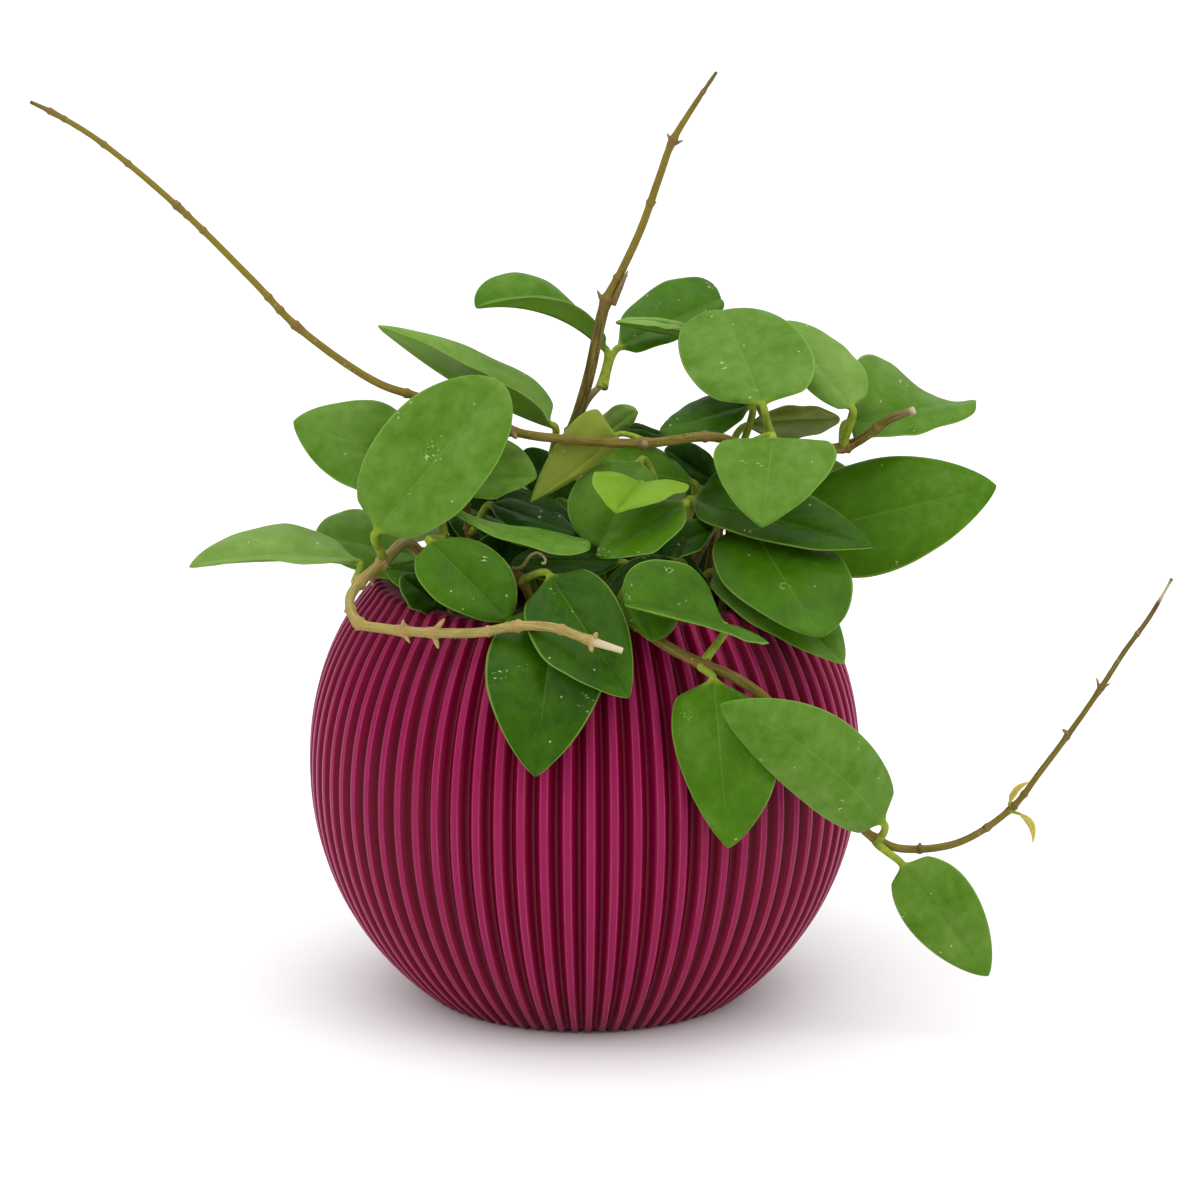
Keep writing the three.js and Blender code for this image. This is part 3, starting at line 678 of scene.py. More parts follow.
def makeSoilMesh():
    sides = soil["sides"]

    def wallRadius(z):
        return crestRadius(z) - pot["wall"] - soil["gap"]

    shares = np.linspace(0.03, 1, soil["rings"])
    rings = [(wallRadius(soil["z"]) * share, soil["z"] + soil["mound"] * (1 - share**2)) for share in shares]
    rings += [(wallRadius(z), z) for z in soil["levels"]]
    points = [ringPoint(0, 0, soil["z"] + soil["mound"])]
    for radius, z in rings:
        points += [ringPoint(radius, angle, z) for angle in np.linspace(0, 2 * math.pi, sides, False)]
    points.append(ringPoint(0, 0, rings[-1][1]))
    faces = []
    for row in range(len(rings) - 1):
        low, high = 1 + row * sides, 1 + (row + 1) * sides
        faces += [(low + j, low + i, high + i, high + j) for i, j in around(sides)]
    last = 1 + (len(rings) - 1) * sides
    for i, j in around(sides):
        faces.append((0, 1 + i, 1 + j))
        faces.append((len(points) - 1, last + j, last + i))
    return plainMesh("soil", points, faces)


def makeSoilTree():
    # an uneven top with crumbs and bark chips strewn over it
    inputs = [
        ("Geometry", "NodeSocketGeometry", None),
        ("Top Height", "NodeSocketFloat", None),
        ("Relief", "NodeSocketFloat", None),
        ("Fades From", "NodeSocketFloat", None),
        ("Fades To", "NodeSocketFloat", None),
        ("Crumbs", "NodeSocketFloat", None),
        ("Crumb Size", "NodeSocketFloat", None),
        ("Seed", "NodeSocketInt", 1),
        ("Material", "NodeSocketMaterial", None),
    ]
    tree, pad = newGroup("looseSoil", "GeometryNodeTree", inputs, [("Geometry", "NodeSocketGeometry")])
    given = pad.given
    place = ownPlace(pad)
    x, y, z = pad.split(place)
    top = pad.ramp(z, given["Top Height"], pad.plus(given["Top Height"], mm), smooth=False)
    radius = pad.vector("LENGTH", pad.join(x, y, 0.0))
    inside = pad.ramp(radius, given["Fades From"], given["Fades To"], 1.0, 0.0)
    bump = pad.noise(place, soil["bumps"], 4.0, 0.65)
    rise = pad.times(pad.minus(bump, soil["bumpLevel"]), given["Relief"])
    rise = pad.times(pad.times(rise, top), inside)
    shape = shifted(pad, given["Geometry"], pad.join(0.0, 0.0, rise))
    spin = randomVector(pad, (0.0,) * 3, (soil["spin"],) * 3, given["Seed"])
    size = randomVector(pad, soil["smallest"], soil["largest"], soil["sizeSeed"])
    size = pad.scaled(size, given["Crumb Size"])
    endTree(pad, strewn(pad, shape, pad.times(given["Crumbs"], top), 1, size, spin), smooth=False)
    return tree


soilSizes = {
    "Top Height": (soil["z"] - soil["topMargin"]) * mm,
    "Relief": soil["relief"] * mm,
    "Fades From": soil["reliefFades"][0] * mm,
    "Fades To": soil["reliefFades"][1] * mm,
    "Crumbs": soil["crumbs"] / (math.pi * (soil["crumbSpread"] * mm) ** 2),
    "Crumb Size": soil["crumbSize"] * mm,
    "Seed": soil["seed"],
    "Material": makeSoilMaterial(),
}
soilPiece = bakeTree("loose_soil", makeSoilMesh(), makeSoilTree(), soilSizes)
finishPiece(soilPiece, "earth", "soil")
print("soil made:", len(soilPiece.data.polygons), "faces")

pathSteps = 20  # between two points of a path
stems = {
    "rootLevels": (100, 117, 121),  # a stem stands upright in the soil
    "step": 0.5,
    "sides": 14,
    "swell": 0.24,  # at a node, as a share of the radius
    "swellReach": 3.4,
    "ridge": 0.3,  # the leaf scar round a node
    "ridgeOff": 0.9,  # how far it lies beyond the node
    "ridgeWidth": 0.55,
    "ring": 0.16,  # a lesser scar between nodes
    "ringWidth": 0.6,
    "ringStain": 0.6,  # how brown it is, beside a node
    "relief": 0.08,
    "lumps": 420.0,  # in waves per metre
    "wrinkles": 4200.0,  # across the nodes, in radians per metre
    "wrinkleShare": 0.6,
    "taper": 0.3,  # of a side branch
    "spurSteps": 13,
    "nubs": 0.35,  # aerial root bumps per square centimetre
    "nubSize": 0.4,
    "nubSmallest": (0.5, 0.5, 0.4),  # as shares of that size
    "nubLargest": (1.2, 1.1, 1.1),
    "nubSizeSeed": 5,
    "growth": [(-3, 1, 0.1, 0), (20, 0.75, 0.25, 0)],
}

# A vine's path runs from where it leaves the soil to its tip, and "nodes" are the points of it that are
# swollen. A leaf springs from point "from". "base" is where its petiole meets the blade and "tip" is the
# blade's point. "left" and "right" run from the midrib to the two edges where the blade is widest, seen on
# its upper face with the tip up. "bow" is how far the middle of the midrib lies off the straight line, and
# "furl" turns the left half more and more towards the tip. "tone" is how dark or pale the blade is: partly
# its own green and partly painted light and shade, paler where the leaf is lit and deeper where it is shaded.
# "growth" gives, from root to tip, the path position, share of the radius, share of young green and of pale
# cut wood. "rings" are lesser scars. A spur has a start, an end, a radius and how blunt its end is.
vines = {
    "long_left": {
        "root": (38, 4), "radius": 1.6,
        "path": [
            (42, 6, 150), (44, 5, 171), (49, -16, 186), (40, -25, 191), (19, -30, 190), (-8, -28, 191),
            (-23, -26, 193), (-52, -22, 203), (-66, -22, 208), (-91, -22, 226), (-104, -22, 240),
            (-128, -20, 264), (-154, -15, 285), (-168, -12, 293), (-175, -10, 296),
        ],
        "nodes": [2, 4, 6, 9, 11, 13],
        "growth": [
            (-3, 1, 0, 0), (3, 1, 0.2, 0), (6, 0.92, 0.45, 0), (9, 0.76, 0.85, 0), (11, 0.65, 1, 0),
            (13, 0.54, 0.8, 0), (14, 0.36, 0.2, 0),
        ],
        "rings": [3.1, 4.9, 7.3, 9.4, 9.7, 10.7, 10.9, 11.6, 11.9, 12.7],
        "spurs": [
            ((19, -31, 190), (19.3, -34, 190.5), 1.5, 0.6), ((-23, -27, 193), (-21.5, -30, 191.5), 1.1, 0.6),
        ],
        "leaves": [
            {"from": 2, "form": "heart", "tone": "fresh", "base": (60, -26, 191), "tip": (56, -49, 167),
             "left": (21, -2, 2), "right": (-18, 0, 2)},
            {"from": 4, "form": "heart", "skin": "olive", "tone": "pale", "base": (10.7, -24, 191.4),
             "tip": (-17.2, -31, 170.8), "left": (2.5, -1, -2.5), "right": (-5, 4, 11), "stalk": 0.9},
        ],
    },
    "upright": {
        "root": (-14, 14), "radius": 2,
        "path": [
            (-12, 9, 150), (-9, 4, 178), (-4, 0, 188), (1, -2, 204), (7, -5, 231), (12, -5, 241),
            (18, -4, 254), (24, -3, 271), (28, -2, 282), (34, -1, 292), (42, 0, 304),
        ],
        "nodes": [1, 4, 8],
        "growth": [
            (-3, 1, 0, 0), (3.8, 0.92, 0.05, 0), (4.4, 0.68, 0.7, 0), (8, 0.58, 0.9, 0), (9.3, 0.44, 0.7, 0),
            (9.6, 0.3, 0, 0), (9.75, 0.34, 0, 0), (10, 0.24, 0, 0),
        ],
        "rings": [1.9, 4.75, 6.5, 9.5],
        "branch": {"path": [(-4, 0, 187), (1, 3, 197), (6, 5, 202)], "radius": 1.5},
        "spurs": [
            ((6.5, -5, 229.5), (4, -6.5, 235), 1.1, 0.25), ((9, -5.5, 230), (14, -7, 241.5), 1.2, 0.35),
            ((28, -2, 281), (26.3, -3, 285), 0.8, 0.25), ((28, -2, 281), (31.6, -3, 282.6), 0.8, 0.25),
        ],
        "leaves": [
            {"from": 1, "form": "lance", "tone": "pale", "base": (-10, -4, 190), "tip": (-66, -10, 224),
             "left": (1, -15, 10), "right": (8, 15, 7), "bow": (0, -1, -3)},
            {"start": (5.2, 5, 201.5), "form": "round", "tone": "mid", "base": (7, 10, 212),
             "tip": (-35, 4, 227), "left": (5, -8, 5), "right": (-6, 12, 10), "bow": (2, -1, 6)},
            {"start": (6.4, 5.4, 201.5), "form": "disc", "tone": "dark", "base": (11, 20, 210.5),
             "tip": (45, 48, 221), "left": (-3, 15, 10), "right": (5, -6, -3)},
            {"from": 1, "tone": "pale", "base": (4, 8, 182), "tip": (17, 0, 194), "left": (-1, 3, 6),
             "right": (4, -3, 0)},
        ],
    },
    "trailing": {
        "root": (4, -42), "radius": 1.7,
        "path": [
            (5, -50, 138), (9, -62, 142.5), (15, -69, 141.5), (25, -76, 136), (37, -81, 131), (45, -82, 128),
            (54, -81, 122), (68, -74, 106), (80, -66, 87), (88, -60, 72), (93, -57, 67), (101, -54, 63),
            (120, -47, 63), (137, -42, 73), (146, -39, 84), (156, -36, 97), (165, -34, 110), (173, -31, 122),
            (181, -29, 133), (188, -27, 145),
        ],
        "nodes": [0, 4, 10, 13, 16],
        "growth": [
            (-3, 1, 0.3, 0), (4, 1, 0.35, 0), (10, 0.85, 0.5, 0), (13, 0.62, 0.6, 0), (16, 0.52, 0.3, 0),
            (18.35, 0.44, 0.05, 0), (18.5, 0.28, 0, 0.7), (18.85, 0.26, 0, 0.6), (19, 0.36, 0, 0),
        ],
        "rings": [2.2, 6.5, 11.35, 12.5, 13.4, 14.85, 17.5, 18.5],
        "spurs": [
            ((165, -34, 110), (163.8, -34.6, 114.4), 0.7, 0.25),
            ((165, -34, 110), (168.4, -34, 112.2), 0.7, 0.25), ((155, -36.5, 96), (153, -38, 98), 0.8, 0.6),
            ((107, -53, 62.5), (107, -54, 65), 0.8, 0.6), ((128, -45, 68), (129.5, -46, 66), 0.7, 0.5),
        ],
        "leaves": [
            {"from": 4, "form": "folded", "tone": "dark", "base": (44, -76, 142), "tip": (12.6, -86, 151.5),
             "left": (22, -9, -5), "right": (-4, 14, 14.5), "bow": (0, -1, 0)},
            {"from": 4, "form": "heart", "tone": "mid", "base": (40, -85, 128), "tip": (45, -90, 74),
             "left": (20, 5, -8), "right": (-14, 0, -3)},
            {"from": 10, "tone": "fresh", "base": (95, -64, 74), "tip": (42, -102, 124),
             "left": (-7, 2, -13), "right": (11, 8, 8), "bow": (1, -3, 6)},
            {"from": 10, "tone": "fresh", "base": (101, -57, 59), "tip": (129, -62, 23), "left": (10, 0, 9),
             "right": (-9, -2, -6)},
            {"from": 0, "tone": "dark", "base": (16, -64, 154), "tip": (21, -79, 138), "left": (11, 2, -3),
             "right": (-6, -2, 0)},
        ],
    },
    "front_loop": {
        "root": (-40, -8), "radius": 1.9, "bark": "pale", "nubs": 1.6,
        "path": [
            (-48, -14, 142), (-57, -24, 156), (-64, -34, 152), (-71, -44, 148), (-74, -52, 144),
            (-71, -60, 139), (-62, -64, 138), (-47, -69, 138), (-32, -76, 140), (-21, -80, 143),
            (-9, -86, 144), (2, -90, 141), (12, -91, 138),
        ],
        "nodes": [2, 3, 5, 6.35, 7, 9, 11],
        "growth": [
            (-3, 1, 0.1, 0), (2, 0.95, 0.2, 0), (4, 0.84, 0.7, 0), (8, 0.8, 0.5, 0), (9, 0.8, 0.1, 0),
            (11, 0.78, 0, 0), (11.2, 0.7, 0, 0.8), (12, 0.5, 0, 1),
        ],
        "rings": [4.4, 8.2, 10.2],
        "spurs": [
            ((-57, -66, 138), (-56.5, -67.5, 142), 0.9, 0.4),
            ((-57, -66, 138), (-54.5, -68.5, 134.5), 1.0, 0.3),
            ((-47, -69, 138), (-43.5, -70.5, 143), 1.1, 0.5),
            ((-47, -69, 138), (-45.5, -71.5, 133.5), 1.1, 0.5), ((3, -90, 141), (4, -91.5, 144), 1.0, 0.7),
            ((2, -90, 141), (2.5, -92.5, 138), 1.0, 0.7), ((-69, -36, 150), (-67, -39, 145.5), 0.8, 0.6),
        ],
        "leaves": [
            {"from": 2, "form": "round", "tone": "fresh", "base": (-66, -44, 164), "tip": (-26, -36, 211),
             "left": (-16, 7, 11), "right": (13.5, -9, -8)},
            {"from": 3, "form": "lance", "tone": "pale", "base": (-72, -30, 151), "tip": (-126, -32, 150),
             "left": (2, -11, 1), "right": (-5, 16, 7), "bow": (0, 1, 2)},
        ],
    },
    "top_right": {
        "root": (38, 24), "radius": 1.7,
        "path": [
            (43, 16, 148), (50, 3, 170), (61, -8, 184), (72, -6, 183), (84, 0, 182), (92, -2, 187),
            (98, -4, 192), (106, -6, 195.5),
        ],
        "nodes": [0, 1, 2, 4],
        "growth": [
            (-3, 1, 0.1, 0), (4, 1, 0.1, 0), (6, 0.85, 0.1, 0), (6.8, 0.75, 0, 0.1), (7, 0.7, 0, 0.9),
        ],
        "rings": [2.8, 5.4],
        "leaves": [
            {"from": 2, "form": "disc", "tone": "fresh", "base": (57, -20, 200), "tip": (45, 20, 223),
             "left": (-20, 1, -1), "right": (21.5, -4, 4.5)},
            {"from": 4, "form": "round", "tone": "pale", "base": (86, -6, 196), "tip": (63, 16, 220),
             "left": (-5, -4, -4), "right": (12, 7, 2)},
            {"from": 4, "form": "fan", "tone": "fresh", "base": (85, 9, 188), "tip": (128, 24, 192),
             "left": (-4, 17, 14), "right": (-1, -12, -5), "furl": -2.2},
            {"from": 2, "tone": "pale", "base": (38, 25, 213), "tip": (10, 13.5, 220.3),
             "left": (0, -6, 2.5), "right": (-1, 2, 4)},
            {"from": 1, "tone": "deep", "base": (53, -3, 196), "tip": (24, -14, 190), "left": (0, -9, -4),
             "right": (-3, 13, 3)},
            {"from": 0, "skin": "olive", "tone": "dark", "base": (53, 14, 186), "tip": (83, 14, 188),
             "left": (3, -12, -2), "right": (4, 8, 4)},
        ],
    },
    "low_right": {
        "root": (26, -30), "radius": 1.8,
        "path": [(30, -26, 136), (36, -18, 150), (43, -12, 160), (52, -8, 160), (58, -6, 160)],
        "nodes": [0, 2, 3],
        "leaves": [
            {"from": 3, "tone": "mid", "base": (67, 2, 152), "tip": (133, -4, 170), "left": (-4, 10, 16),
             "right": (2, -10, -17)},
            {"from": 2, "form": "pointed", "tone": "deep", "base": (34, -14, 168), "tip": (92, -34, 157),
             "left": (5, 14, 10), "right": (-3, -17, -3)},
            {"from": 2, "tone": "dark", "base": (52, -22, 162), "tip": (74, -67, 136), "left": (22, 7, 0),
             "right": (-18, -5, -2)},
            {"from": 0, "tone": "fresh", "base": (41, -26, 147), "tip": (82, -54, 124), "left": (12, 8, 5),
             "right": (-7, -14, -2), "bow": (0, 0, 3)},
        ],
    },
    "front": {
        "root": (-16, -34), "radius": 1.6,
        "path": [(-16, -44, 138), (-20, -46, 149), (-32, -44, 157), (-45, -42, 162)],
        "nodes": [0, 1, 3],
        "branch": {
            "path": [
                (-27, -45, 151.5), (-22.7, -50, 153.8), (-19.5, -54, 155.5), (-16.4, -56, 160),
                (-14.1, -57, 160.8), (-12.3, -58, 159.4), (-12.2, -58.5, 157.8), (-13.2, -58.8, 158),
            ],
            "radius": 0.8,
            "taper": 0.5,
        },
        "leaves": [
            {"from": 3, "tone": "dark", "base": (-49, -50, 163), "tip": (-24, -66, 141), "left": (13, 2, 5),
             "right": (-10, -6, -5)},
            {"from": 1, "form": "pointed", "tone": "deep", "base": (-11, -60, 154.5), "tip": (14, -95, 124),
             "left": (12, 0, 7), "right": (-13, -13, -6)},
            {"from": 0, "form": "pointed", "tone": "deep", "base": (-8, -58, 146.5), "tip": (-15, -96, 99),
             "left": (18, -7, -4), "right": (-20, -6, -2), "bow": (0, -7, 5)},
            {"from": 3, "form": "spoon", "tone": "fresh", "base": (-46, -38, 173), "tip": (2, -58, 163),
             "left": (1, 10, 2), "right": (1, -7, 0), "bow": (0, -1, -5)},
        ],
    },
    "left": {
        "root": (-30, 0), "radius": 1.6,
        "path": [(-34, -6, 136), (-37, -7, 156), (-38, -8, 168), (-32, -6, 177), (-22, -6, 180)],
        "nodes": [0, 1, 2, 3],
        "leaves": [
            {"from": 2, "tone": "fresh", "base": (-51, -18, 178), "tip": (-93, -16, 194),
             "left": (-5, -9, -11), "right": (5, 13, 12)},
            {"from": 0, "tone": "fresh", "base": (-51, -6, 146), "tip": (-87, -6, 154),
             "left": (-2, -10, -7), "right": (-5, 14, 10)},
            {"from": 3, "tone": "fresh", "base": (-43, -26, 176), "tip": (-15, -30, 179),
             "left": (2, 10, 12), "right": (0, -8, -4)},
            {"from": 1, "tone": "deepest", "base": (-30, -18, 167), "tip": (-3, -34, 161), "left": (5, 8, 2),
             "right": (-1, -8, -3)},
            {"from": 0, "tone": "dark", "base": (-46, -26, 145), "tip": (-63, -36, 150),
             "left": (-2, -8, -3), "right": (-1, 6, 3)},
        ],
    },
    "centre": {
        "root": (22, 0), "radius": 1.8,
        "path": [(26, -4, 138), (28, -9, 148), (30, -18, 158), (28, -28, 167)],
        "nodes": [1, 2, 3],
        "leaves": [
            {"from": 2, "form": "round", "tone": "fresh", "base": (18, -20, 182), "tip": (5, -34, 157),
             "left": (10, 3, -5), "right": (-16, -1, 4)},
            {"from": 1, "tone": "mid", "base": (35, -4, 171), "tip": (4, -6, 178), "left": (-5, -3, -5),
             "right": (-6, 17, 8)},
            {"from": 3, "form": "heart", "skin": "young", "base": (18, -36, 178), "tip": (10, -62, 175),
             "left": (17, 1, 1), "right": (-13, -5, 7)},
            {"from": 3, "tone": "mid", "base": (32, -36, 172), "tip": (4, -54, 159), "left": (4, -13, -4),
             "right": (-6, 5, 2)},
            {"from": 2, "tone": "deepest", "base": (41, -26, 161), "tip": (24, -42, 157),
             "left": (-1, -10, -3), "right": (-4, 6, 4)},
        ],
    },
    "back": {
        "root": (6, 34), "radius": 1.8,
        "path": [(4, 52, 138), (2, 64, 144), (0, 74, 140), (-4, 86, 124), (-8, 94, 104), (-10, 96, 86)],
        "nodes": [2, 4],
        "leaves": [
            {"from": 2, "base": (11, 82, 137), "tip": (46, 98, 104), "left": (-13, 10, -9),
             "right": (14, -5, 12)},
            {"from": 2, "base": (-12, 82, 137), "tip": (-46, 94, 108), "left": (-13, -6, 12),
             "right": (12, 11, -9)},
            {"from": 4, "base": (4, 98, 100), "tip": (26, 104, 58), "left": (-16, 5, -8),
             "right": (16, -1, 8)},
        ],
    },
    "back_left": {
        "root": (-16, 30), "radius": 1.6,
        "path": [(-22, 40, 138), (-30, 48, 150), (-34, 52, 158)],
        "nodes": [0, 1],
        "leaves": [
            {"from": 0, "base": (-34, 46, 147), "tip": (-64, 70, 132), "left": (-12, -13, 3),
             "right": (9, 15, 6)},
            {"from": 1, "base": (-25, 60, 161), "tip": (-12, 92, 140), "left": (-17, 8, 1),
             "right": (18, -3, 5)},
            {"from": 1, "base": (-37, 42, 162), "tip": (-58, 24, 178), "left": (11, -2, 12),
             "right": (-12, 7, -8)},
        ],
    },
    "back_right": {
        "root": (30, 36), "radius": 1.6,
        "path": [(37, 43, 142), (46, 50, 151), (50, 54, 157)],
        "nodes": [0, 1],
        "leaves": [
            {"from": 0, "base": (52, 48, 150.5), "tip": (84, 62, 133.5), "left": (-5, 17, 4),
             "right": (8, -16, 2)},
            {"from": 1, "base": (44, 61, 161), "tip": (34, 94, 138), "left": (-18, -3, 3),
             "right": (18, 6, 1)},
            {"from": 1, "base": (57, 44, 160), "tip": (86, 32, 168), "left": (7, 14, -5),
             "right": (-7, -10, 11)},
        ],
    },
}


def curveThrough(points):
    # centripetal Catmull-Rom through all the points; returns dense points and their distances
    points = [np.array(p, float) for p in points]
    ends = [2 * points[0] - points[1]] + points + [2 * points[-1] - points[-2]]
    dense = []
    for a, b, c, d in zip(ends, ends[1:], ends[2:], ends[3:]):
        first, middle, last = (math.sqrt(np.linalg.norm(q - p)) for p, q in ((a, b), (b, c), (c, d)))
        leave = ((b - a) / first - (c - a) / (first + middle) + (c - b) / middle) * middle
        arrive = ((c - b) / middle - (d - b) / (middle + last) + (d - c) / last) * middle
        for t in np.arange(pathSteps) / pathSteps:
            bent = -3 * b + 3 * c - 2 * leave - arrive
            dense.append(b + leave * t + bent * t**2 + (2 * b - 2 * c + leave + arrive) * t**3)
    dense.append(points[-1])
    dense = np.array(dense)
    lengths = np.concatenate([[0], np.cumsum(np.linalg.norm(np.diff(dense, axis=0), axis=1))])
    return dense, lengths


def evenly(dense, lengths, step):
    stations = np.linspace(0, lengths[-1], max(3, int(math.ceil(lengths[-1] / step)) + 1))
    return np.stack([np.interp(stations, lengths, dense[:, k]) for k in range(3)], 1), stations


def vineCurve(vine):
    upright = [(*vine["root"], z) for z in stems["rootLevels"]]
    return curveThrough(upright + vine["path"])


def mainStrand(vine):
    dense, lengths = vineCurve(vine)
    places, stations = evenly(dense, lengths, stems["step"])
    positions = np.arange(len(lengths)) / pathSteps - len(stems["rootLevels"])  # 0 is the path's first point
    marks = np.array(vine.get("growth", stems["growth"]))
    here = np.interp(stations, lengths, positions)
    share, young, pale = (np.interp(here, marks[:, 0], marks[:, k]) for k in (1, 2, 3))
    stain = np.zeros(len(stations))
    ridges = np.zeros(len(stations))
    for node in vine["nodes"]:
        off = stations - np.interp(node, positions, lengths)
        stain = np.maximum(stain, np.clip(1 - (off / stems["swellReach"]) ** 2, 0, 1) ** 2)
        ridges += stems["ridge"] * np.exp(-(((off - stems["ridgeOff"]) / stems["ridgeWidth"]) ** 2))
    for ring in vine.get("rings", []):
        off = stations - np.interp(ring, positions, lengths)
        stain = np.maximum(stain, stems["ringStain"] * np.exp(-(off**2)))
        ridges += stems["ring"] * np.exp(-((off / stems["ringWidth"]) ** 2))
    radii = vine["radius"] * share * (1 + stems["swell"] * stain + ridges)
    return places, radii, stain, young, pale


def branchStrand(branch):
    places, stations = evenly(*curveThrough(branch["path"]), stems["step"])
    share = stations / stations[-1]
    radii = branch["radius"] * (1 - branch.get("taper", stems["taper"]) * share)
    return places, radii, share * 0, share * 0.3, share**4 * 0.6


def spurStrand(start, end, radius, blunt):
    share = np.linspace(0, 1, stems["spurSteps"])
    places = np.outer(1 - share, start) + np.outer(share, end)
    shape = ((1 - share) ** 0.8 * (1 - blunt) + blunt) * np.sqrt(1.03 - share**6)  # with a rounded end
    return places, radius * shape, share * 0 + 0.7, share * 0, share * 0.2


def vineStrands(vine):
    # every strand of a vine: its points, radii, and shares of node, young green and pale cut wood
    strands = [mainStrand(vine)]
    if "branch" in vine:
        strands.append(branchStrand(vine["branch"]))
    return strands + [spurStrand(*spur) for spur in vine.get("spurs", [])]


def strandMesh(name, strands):
    points, edges, shares = [], [], [[], [], [], []]
    for places, radius, *others in strands:
        first = len(points)
        points += [tuple(p * mm) for p in places]
        edges += [(first + i, first + i + 1) for i in range(len(places) - 1)]
        for kept, values in zip(shares, (radius * mm, *others)):
            kept += list(values)
    mesh = bpy.data.meshes.new(name)
    mesh.from_pydata(points, edges, [])
    for key, values in zip(("stemRadius", "stemNode", "stemYoung", "stemPale"), shares):
        mesh.attributes.new(key, "FLOAT", "POINT").data.foreach_set("value", values)
    return mesh


def makeStemTree():
    # round skins over the strands, with bark relief, rings at the nodes and small root bumps
    inputs = [
        ("Geometry", "NodeSocketGeometry", None),
        ("Sides", "NodeSocketInt", 16),
        ("Relief", "NodeSocketFloat", None),
        ("Nubs", "NodeSocketFloat", None),
        ("Nub Size", "NodeSocketFloat", None),
        ("Seed", "NodeSocketInt", 1),
        ("Material", "NodeSocketMaterial", None),
    ]
    tree, pad = newGroup("woodyStem", "GeometryNodeTree", inputs, [("Geometry", "NodeSocketGeometry")])
    given = pad.given
    line = pad.add("GeometryNodeMeshToCurve", {"Mesh": given["Geometry"]}).outputs[0]
    line = storeShare(pad, line, "stemLength", pad.add("GeometryNodeSplineParameter").outputs["Length"])
    circle = {"Resolution": given["Sides"], "Radius": 1.0}
    circle = pad.add("GeometryNodeCurvePrimitiveCircle", circle).outputs[0]
    x, y, _ = pad.split(ownPlace(pad))
    circle = storeShare(pad, circle, "stemX", x)
    circle = storeShare(pad, circle, "stemY", y)
    tube = {"Curve": line, "Profile Curve": circle, "Scale": readShare(pad, "stemRadius"), "Fill Caps": True}
    skin = pad.add("GeometryNodeCurveToMesh", tube).outputs[0]
    lumps = pad.times(pad.minus(pad.noise(ownPlace(pad), stems["lumps"], 3.0, 0.6), 0.5), 2.0)
    rings = pad.math("SINE", pad.times(readShare(pad, "stemLength"), stems["wrinkles"]))
    rings = pad.times(rings, pad.times(readShare(pad, "stemNode"), stems["wrinkleShare"]))
    lift = pad.times(pad.plus(lumps, rings), given["Relief"])
    skin = shifted(pad, skin, pad.scaled(ownNormal(pad), lift))
    size = randomVector(pad, stems["nubSmallest"], stems["nubLargest"], stems["nubSizeSeed"])
    endTree(pad, strewn(pad, skin, given["Nubs"], 2, pad.scaled(size, given["Nub Size"])))
    return tree


stemTree = makeStemTree()
squareCentimetres = 1e4  # in a square metre
for number, (name, vine) in enumerate(vines.items()):
    material, slot = barks[vine.get("bark", "bark")]
    stemSizes = {
        "Sides": stems["sides"],
        "Relief": stems["relief"] * mm,
        "Nubs": vine.get("nubs", stems["nubs"]) * squareCentimetres,
        "Nub Size": stems["nubSize"] * mm,
        "Seed": number,
        "Material": material,
    }
    stemPiece = bakeTree(name + "_stem", strandMesh(name + "_stem", vineStrands(vine)), stemTree, stemSizes)
    finishPiece(stemPiece, slot, name + "_vine")
print("vines made:", len(vines))

blade = {
    "around": 48,
    "along": 84,
    "petioleShare": 0.22,  # of the steps along
    "petioleRadius": 1.2,
    "petioleFoot": 0.4,  # how much thicker it is at the stem
    "petioleSunk": 1.2,  # how deep it starts inside a branch
    "petioleSeat": 0.6,  # and inside a vine, as a share of the vine's radius
    "bend": 0.2,
    "middle": 1.4,  # thickness at the midrib
    "edge": 0.9,
    "puff": 1.2,  # how far each half bulges between midrib and edge
    "wave": 1.4,
    "wavesAcross": 1.3,  # from the midrib to an edge
    "wavesAlong": 2.6,
    "groove": 0.12,  # the midrib's, in the upper face
    "keel": 0.6,  # and its ridge below
    "spineWidth": 0.07,  # of both, as a share of the blade's half
    "spineFades": 0.5,  # from there to the tip
    "spread": 1.4,  # over 1, the points crowd towards the midrib
    "edgePower": 6.0,  # the higher, the squarer the edge
    "tipThins": 30.0,  # the higher, the later
    "pressed": 0.08,  # the share of the blade over which the round stalk turns flat
    "stalkColour": 0.05,  # and over which it turns to the blade's colour
}
# partly the leaves' own greens, partly painted light and shade: paler tones for lit leaves, deeper ones for
# shaded leaves
leafTones = {"deepest": 0.02, "deep": 0.16, "dark": 0.33, "mid": 0.48, "fresh": 0.63, "pale": 0.82}
bladeForms = {  # powers of the outline towards the base and the tip
    "ovate": (0.5, 0.75),
    "round": (0.5, 0.55),
    "disc": (0.38, 0.42),
    "pointed": (0.42, 0.85),
    "heart": (0.3, 0.85),
    "lance": (0.6, 0.85),
    "spoon": (1.0, 0.4),
    "fan": (0.14, 0.2),
    "folded": (0.35, 0.45),
}


